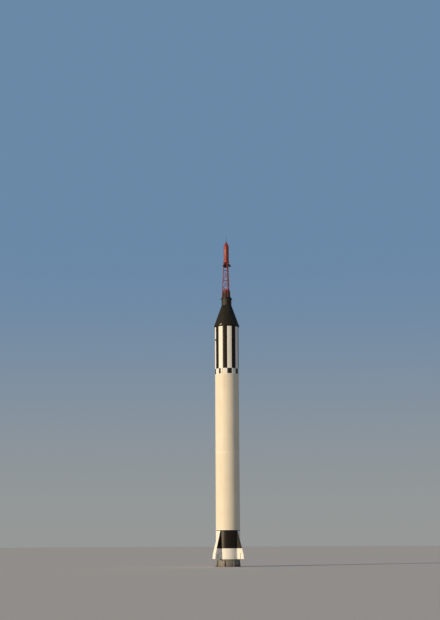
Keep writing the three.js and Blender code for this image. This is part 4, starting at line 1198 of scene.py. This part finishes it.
def shaded_red_headed(tree, place):
    """Brownish black, with the upper fifth of a metre in red that is darkened as painted shade."""
    z = axes(tree, place)[2]
    edge = sums(tree, "MULTIPLY_ADD", noise(tree, place, 9.0), 0.006, canister_high.z - 0.205)
    return mixed(tree, sums(tree, "GREATER_THAN", z, edge), satin_black, shaded_head_red)


canister_paint = dict(coat=satin_black, grime=black_grime, streaks=0.3, roughness=0.50, specular=0.25, texture=0.1)
canister_black = coated("canister_black", **canister_paint)
canister_coat = coated("canister_coat", pattern=shaded_red_headed, **canister_paint)
foot = canister_low.z
canister_skin = turned(
    upon(foot, (0, 0), (0.296, 0), (0.300, 0.004), (0.300, 0.050), (0.297, 0.058), (0.293, 0.066), (0.280, 0.300),
         (0.284, 0.304), (0.283, 0.330), (0.278, 0.334))
    + upon(canister_high.z, (0.272, -0.045), (0.260, -0.004), (0.256, 0), (0, 0)), 96)
make_piece("antenna_canister_skin", [canister_skin], canister_coat, "black_paint", stands_for=["antenna_canister"],
           smooth=35)
canister_bolts = copied(small_bolt, on_wall(around(24), 0.300, foot + 0.030))
make_piece("antenna_canister_bolts", [canister_bolts], canister_black, "black_paint")
cap_shell = turned(
    upon(cap_low.z, (0, 0), (0.233, 0), (0.236, 0.003), (0.236, 0.040), (0.229, 0.050))
    + upon(cap_high.z, (0.199, -0.006), (0.180, 0), (0, 0)), 96)
cap_screws = copied(rivet_head(0.005, 0.003), on_wall(around(24), 0.236, cap_low.z + 0.022))
make_piece("canister_cap_shell", [cap_shell], red_coat, "red_paint", stands_for=["canister_cap"], smooth=30)
make_piece("canister_cap_screws", [cap_screws], red_coat, "red_paint")


# The escape tower is welded from steel tube: three legs that lean in, bars between them and crossed
# diagonals. Every tube ends in a weld fillet, the feet are bolted down, and a lead runs up one leg.
tower_low, tower_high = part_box("escape_tower")
tower_turn = math.radians(-30.7)
leg_foot, leg_head, leg_tube, bar_tube, brace_tube = 0.340, 0.190, 0.030, 0.018, 0.0125
bar_heights = [20.745, 21.410, 22.200]
foot_ring_height, head_ring_height = 0.060, 0.040


def leg_at(leg, height):
    """A leg's middle at a height: its reach falls evenly from foot to head."""
    height = np.asarray(height, float)
    share = (height - tower_low.z) / (tower_high.z - tower_low.z)
    reach = leg_foot + (leg_head - leg_foot) * share
    turn = tower_turn + leg * 2 * math.pi / 3
    return np.stack([reach * math.cos(turn), reach * math.sin(turn), height], axis=-1)


def tubes(pairs, radius, sides=16, fillet=0.35, fillet_at=0.0):
    """Straight tubes, all at once: rings round each pair's line, wider near both ends by a fillet that
    fades as an exponential, and closed to the line at the ends."""
    starts, ends = np.swapaxes(np.asarray(pairs, float), 0, 1)
    line = ends - starts
    length = np.linalg.norm(line, axis=-1, keepdims=True)
    line = line / length
    helper = np.where(np.abs(line[:, 2:]) > 0.9, [[1.0, 0, 0]], [[0, 0, 1.0]])
    first = np.cross(helper, line)
    first /= np.linalg.norm(first, axis=-1, keepdims=True)
    second = np.cross(line, first)
    steps = np.r_[0.0, 0.3, 0.7, 1.2, 2.0, 3.0] * radius + fillet_at
    along = np.concatenate([steps[None] + 0 * length, length - steps[::-1][None]], axis=1)
    from_end = np.minimum(along, length - along) - fillet_at
    wide = radius * (1 + fillet * np.exp(-np.clip(from_end, 0, None) / (0.5 * radius)))
    turn = np.linspace(0, 2 * np.pi, sides, endpoint=False)
    ring = first[:, None, None] * np.cos(turn)[:, None] + second[:, None, None] * np.sin(turn)[:, None]
    centre = (starts[:, None] + line[:, None] * along[..., None])[:, :, None]
    rings = centre + wide[..., None, None] * ring
    closed = np.concatenate([centre[:, :1] + 0 * rings[:, :1], rings, centre[:, -1:] + 0 * rings[:, -1:]], axis=1)
    faces = grid_faces(closed.shape[1], sides)
    shifts = np.arange(len(starts))[:, None, None] * closed.shape[1] * sides
    return closed, (faces[None] + shifts).reshape(-1, 4)


legs = np.arange(3)
leg_pairs = [(leg_at(leg, tower_low.z + 0.010), leg_at(leg, tower_high.z - 0.008)) for leg in legs]
bar_pairs = [(leg_at(leg, height), leg_at((leg + 1) % 3, height)) for height in bar_heights for leg in legs]
brace_pairs = []
for lower, upper in zip(bar_heights[:-1], bar_heights[1:]):
    for leg in legs:
        beside = (leg + 1) % 3
        brace_pairs.append((leg_at(leg, lower + 0.020), leg_at(beside, upper - 0.020)))
        brace_pairs.append((leg_at(beside, lower + 0.020), leg_at(leg, upper - 0.020)))
foot, head = tower_low.z, tower_high.z
head_ring = turned(upon(head - head_ring_height, (0.166, 0), (0.219, 0), (0.222, 0.003))
                   + upon(head, (0.222, -0.003), (0.219, 0), (0.166, 0)), 96, loop=True)
foot_ring = turned(upon(foot, (0.308, 0), (0.369, 0), (0.372, 0.003), (0.372, 0.014), (0.326, 0.020),
                        (0.322, foot_ring_height), (0.308, foot_ring_height)), 96, loop=True)
tower_parts = [tubes(leg_pairs, leg_tube, 24, 0.25), tubes(bar_pairs, bar_tube, 16, 0.45, leg_tube * 0.85),
               tubes(brace_pairs, brace_tube, 14, 0.5, leg_tube), head_ring]
tower_coat = coated("tower_coat", (0.235, 0.038, 0.037, 1.0), escape_shade, 0.50, 0.48, specular=0.3)
make_piece("tower_foot_ring", [foot_ring], canister_black, "black_paint", smooth=35)
make_piece("escape_tower_frame", tower_parts, tower_coat, "red_paint", stands_for=["escape_tower"], smooth=35)
shoe = slab([(-0.050, -0.034), (0.050, -0.034), (0.050, 0.034), (-0.050, 0.034)], 0.020)
shoe_turns = tower_turn + legs * 2 * math.pi / 3
shoes = copied(shoe, on_deck(shoe_turns, 0.338, foot + 0.022))
shoe_bolt_turns = np.concatenate([shoe_turns + side * 0.125 for side in (-1, 1)])
shoe_bolts = copied(bolt_head(0.011, 0.014), on_deck(shoe_bolt_turns, 0.348, foot + 0.018))
make_piece("tower_shoes", [shoes], canister_black, "black_paint", bevel=0.004)
make_piece("tower_shoe_bolts", [shoe_bolts], canister_black, "black_paint")
head_bolts = copied(small_bolt, on_wall(around(24), 0.222, head - 0.020))
make_piece("tower_head_bolts", [head_bolts], tower_coat, "red_paint")

lead_black = coated("lead_sheath", (0.015, 0.015, 0.016, 1.0), socket_dust, 0.2, 0.6)
lead_line = leg_at(1, np.linspace(foot + 0.05, head - 0.06, 14))
lead_turn = tower_turn + 2 * math.pi / 3
lead_out, lead_beside = spokes([lead_turn])
lead_at = lead_line - lead_out * (leg_tube + 0.006)
lead_pairs = np.stack([lead_at[:-1], lead_at[1:]], axis=1)
make_piece("tower_lead", [tubes(lead_pairs, 0.006, 10, 0.0)], lead_black, "black_paint")
leg_line = (lead_line[-1] - lead_line[0]) / np.linalg.norm(lead_line[-1] - lead_line[0])
clip = turned([(leg_tube - 0.002, -0.007), (leg_tube + 0.003, -0.007), (leg_tube + 0.003, 0.007),
               (leg_tube - 0.002, 0.007)], 24, loop=True)
clip_places = places(lead_line[1:-1:2], lead_beside, np.cross(leg_line, lead_beside))
make_piece("tower_lead_clips", [copied(clip, clip_places)], lead_black, "black_paint")


# The escape motor fires through three bells that splay out under it, and a small jettison motor
# hangs between them. All are in the tower's red, with sooty throats.
block_low, block_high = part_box("nozzle_block")
motor_low, motor_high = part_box("escape_motor")
motor_radius, motor_skirt = 0.195, 0.209
cover_radius, mouth_radius, throat_radius, bell_sheet = 0.148, 0.094, 0.046, 0.010
bell_length, bell_start, bell_cant = 0.400, 0.084, math.radians(31.0)
jet_low, jet_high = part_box("jettison_motor")


def sooty_inside(tree, place):
    """The tower's red, blackened by smoke over the bells' lower halves."""
    z = axes(tree, place)[2]
    smoke = sums(tree, "ADD", between(tree, z, block_low.z + 0.06, block_low.z + 0.28, 0.80, 0.0),
                 noise(tree, place, 9.0, 5.0))
    return mixed(tree, between(tree, smoke, 0.62, 0.95), escape_red, (0.012, 0.010, 0.009, 1.0))


bell_red = coated("bell_red", escape_red, escape_shade, 0.45, 0.45, specular=0.3, pattern=sooty_inside)
bell_black = coated("bell_soot", (0.012, 0.011, 0.010, 1.0), soot, 0.5, 0.85, specular=0.2, texture=0.4)
depth = np.linspace(0.07, bell_length, 14)
flare = throat_radius + (mouth_radius - throat_radius) * ((depth - 0.07) / (bell_length - 0.07)) ** 0.85
bell_outer = np.r_[[(0.0, 0.0)], [(0.062, 0.0)], [(0.062, 0.022)], [(0.052, 0.030)], np.c_[flare, depth],
                   [(mouth_radius + 0.006, bell_length - 0.012)], [(mouth_radius + 0.006, bell_length)]]
bell_inner = np.r_[[(mouth_radius - 0.004, bell_length)], np.c_[flare - bell_sheet, depth][::-1], [(0.0, 0.062)]]
outer_shape = turned(bell_outer * [1, -1], 48)
inner_shape = turned(bell_inner * [1, -1], 48)
bell_rim = turned([(mouth_radius + 0.006, -bell_length), (mouth_radius - 0.004, -bell_length)], 48)
bell_turns = tower_turn + np.radians([60.0, 180.0, 300.0])
bell_out, bell_beside = spokes(bell_turns)
axis_up = np.array([0.0, 0.0, 1.0]) * math.cos(bell_cant) - bell_out * math.sin(bell_cant)
start_height = motor_low.z + 0.0003 - 0.005
bell_origins = bell_out * bell_start + [0, 0, start_height]
bell_places = places(bell_origins, np.cross(bell_beside, axis_up), bell_beside)
cover = turned(
    upon(block_high.z - 0.069, (0, 0), (cover_radius - 0.004, 0), (cover_radius, 0.004))
    + upon(block_high.z, (cover_radius, 0), (0, 0)), 64)
outer, inner, rim = (copied((points, faces[:, ::-1]), bell_places)
                     for points, faces in (outer_shape, inner_shape, bell_rim))
make_piece("escape_bells", [outer, rim, cover], bell_red, "red_paint", stands_for=["nozzle_block"], smooth=35)
make_piece("escape_bell_throats", [inner], bell_black, "red_paint", smooth=50)
collar_bolts = copied(bolt_head(0.006, 0.005), on_wall(around(8), 0.062, -0.011))
make_piece("escape_bell_bolts", [copied(collar_bolts, bell_places)], steel, "steel")
jet_radius = jet_high.x
jettison_case = turned(
    upon(jet_low.z, (0, 0.060), (0.022, 0.058), (0.044, 0), (0.052, 0), (0.038, 0.045), (0.031, 0.085),
         (0.050, 0.100), (jet_radius, 0.118), (jet_radius, 0.20), (jet_radius - 0.003, 0.206))
    + upon(jet_high.z, (jet_radius - 0.003, -0.03), (jet_radius, -0.024), (jet_radius, 0), (0, 0)), 48)
make_piece("jettison_motor_case", [jettison_case], red_coat, "red_paint", stands_for=["jettison_motor"], smooth=30)


# The motor's case is a rolled steel tube with a thick skirt at its foot, two raised bands and a
# conduit. A blunt nose closes it, and a slim steel probe stands on the nose.
case_low, case_high, skirt_rise = motor_low.z, motor_high.z, 0.070
tube_radius = motor_radius - 0.001
case_profile = upon(case_low, (0, 0.040), (0.150, 0.040), (0.150, 0), (motor_skirt - 0.003, 0), (motor_skirt, 0.003))
case_profile += upon(case_low + skirt_rise, (motor_skirt, -0.004), (motor_skirt - 0.004, 0),
                     (motor_radius + 0.002, 0.010), (tube_radius, 0.020))
case_profile += upon(case_high, (tube_radius, -0.06), (motor_radius, -0.055), (motor_radius, -0.003),
                     (motor_radius - 0.003, 0), (0, 0))
band_heights = (case_low + 0.26, case_low + 0.72, case_high - 0.14)
bands = [strap(height, 0.035, tube_radius, 0.0035, 96) for height in band_heights]
case_bolts = copied(small_bolt, on_wall(around(24), motor_skirt, case_low + 0.035))
case_rivets = copied(rivet_head(0.004, 0.003), on_wall(around(20), motor_radius, case_high - 0.028))
conduit_place = lead_out[0] * (motor_radius + 0.006)
conduit = tubes([(conduit_place + [0, 0, case_low + 0.09], conduit_place + [0, 0, case_high - 0.10])], 0.011, 14, 0.2)
make_piece("escape_motor_case", [turned(case_profile, 96)], red_coat, "red_paint", stands_for=["escape_motor"],
           smooth=30)
make_piece("escape_motor_bands", bands, red_coat, "red_paint")
make_piece("escape_motor_bolts", [case_bolts, case_rivets], red_coat, "red_paint")
make_piece("escape_motor_conduit", [conduit], red_coat, "red_paint")
nose_low, nose_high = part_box("nose_cone")
spike_low, spike_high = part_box("spike")
nose_share = np.linspace(0, 1, 24)
nose_radius = motor_radius - (motor_radius - 0.024) * nose_share ** 1.25
nose_profile = np.c_[nose_radius, nose_low.z + (nose_high.z - nose_low.z) * nose_share]
nose = turned(np.r_[upon(nose_low.z, (0, 0), (motor_radius - 0.002, 0)), nose_profile[1:], [(0, nose_high.z)]], 96)
make_piece("nose_cone_shell", [nose], red_coat, "red_paint", stands_for=["nose_cone"], smooth=30)
probe_blue = coated("probe_steel", (0.030, 0.040, 0.060, 1.0), soot, 0.3, 0.40, metallic=0.3)
probe = turned(
    upon(spike_low.z, (0, 0), (0.016, 0), (0.018, 0.002), (0.018, 0.034), (0.014, 0.044), (0.011, 0.070),
         (0.0095, 0.20), (0.0115, 0.205), (0.0115, 0.225), (0.0085, 0.230))
    + upon(spike_high.z, (0.004, -0.006), (0.002, -0.001), (0, 0)), 24)
make_piece("nose_probe", [probe], probe_blue, "steel", stands_for=["spike"], smooth=30)
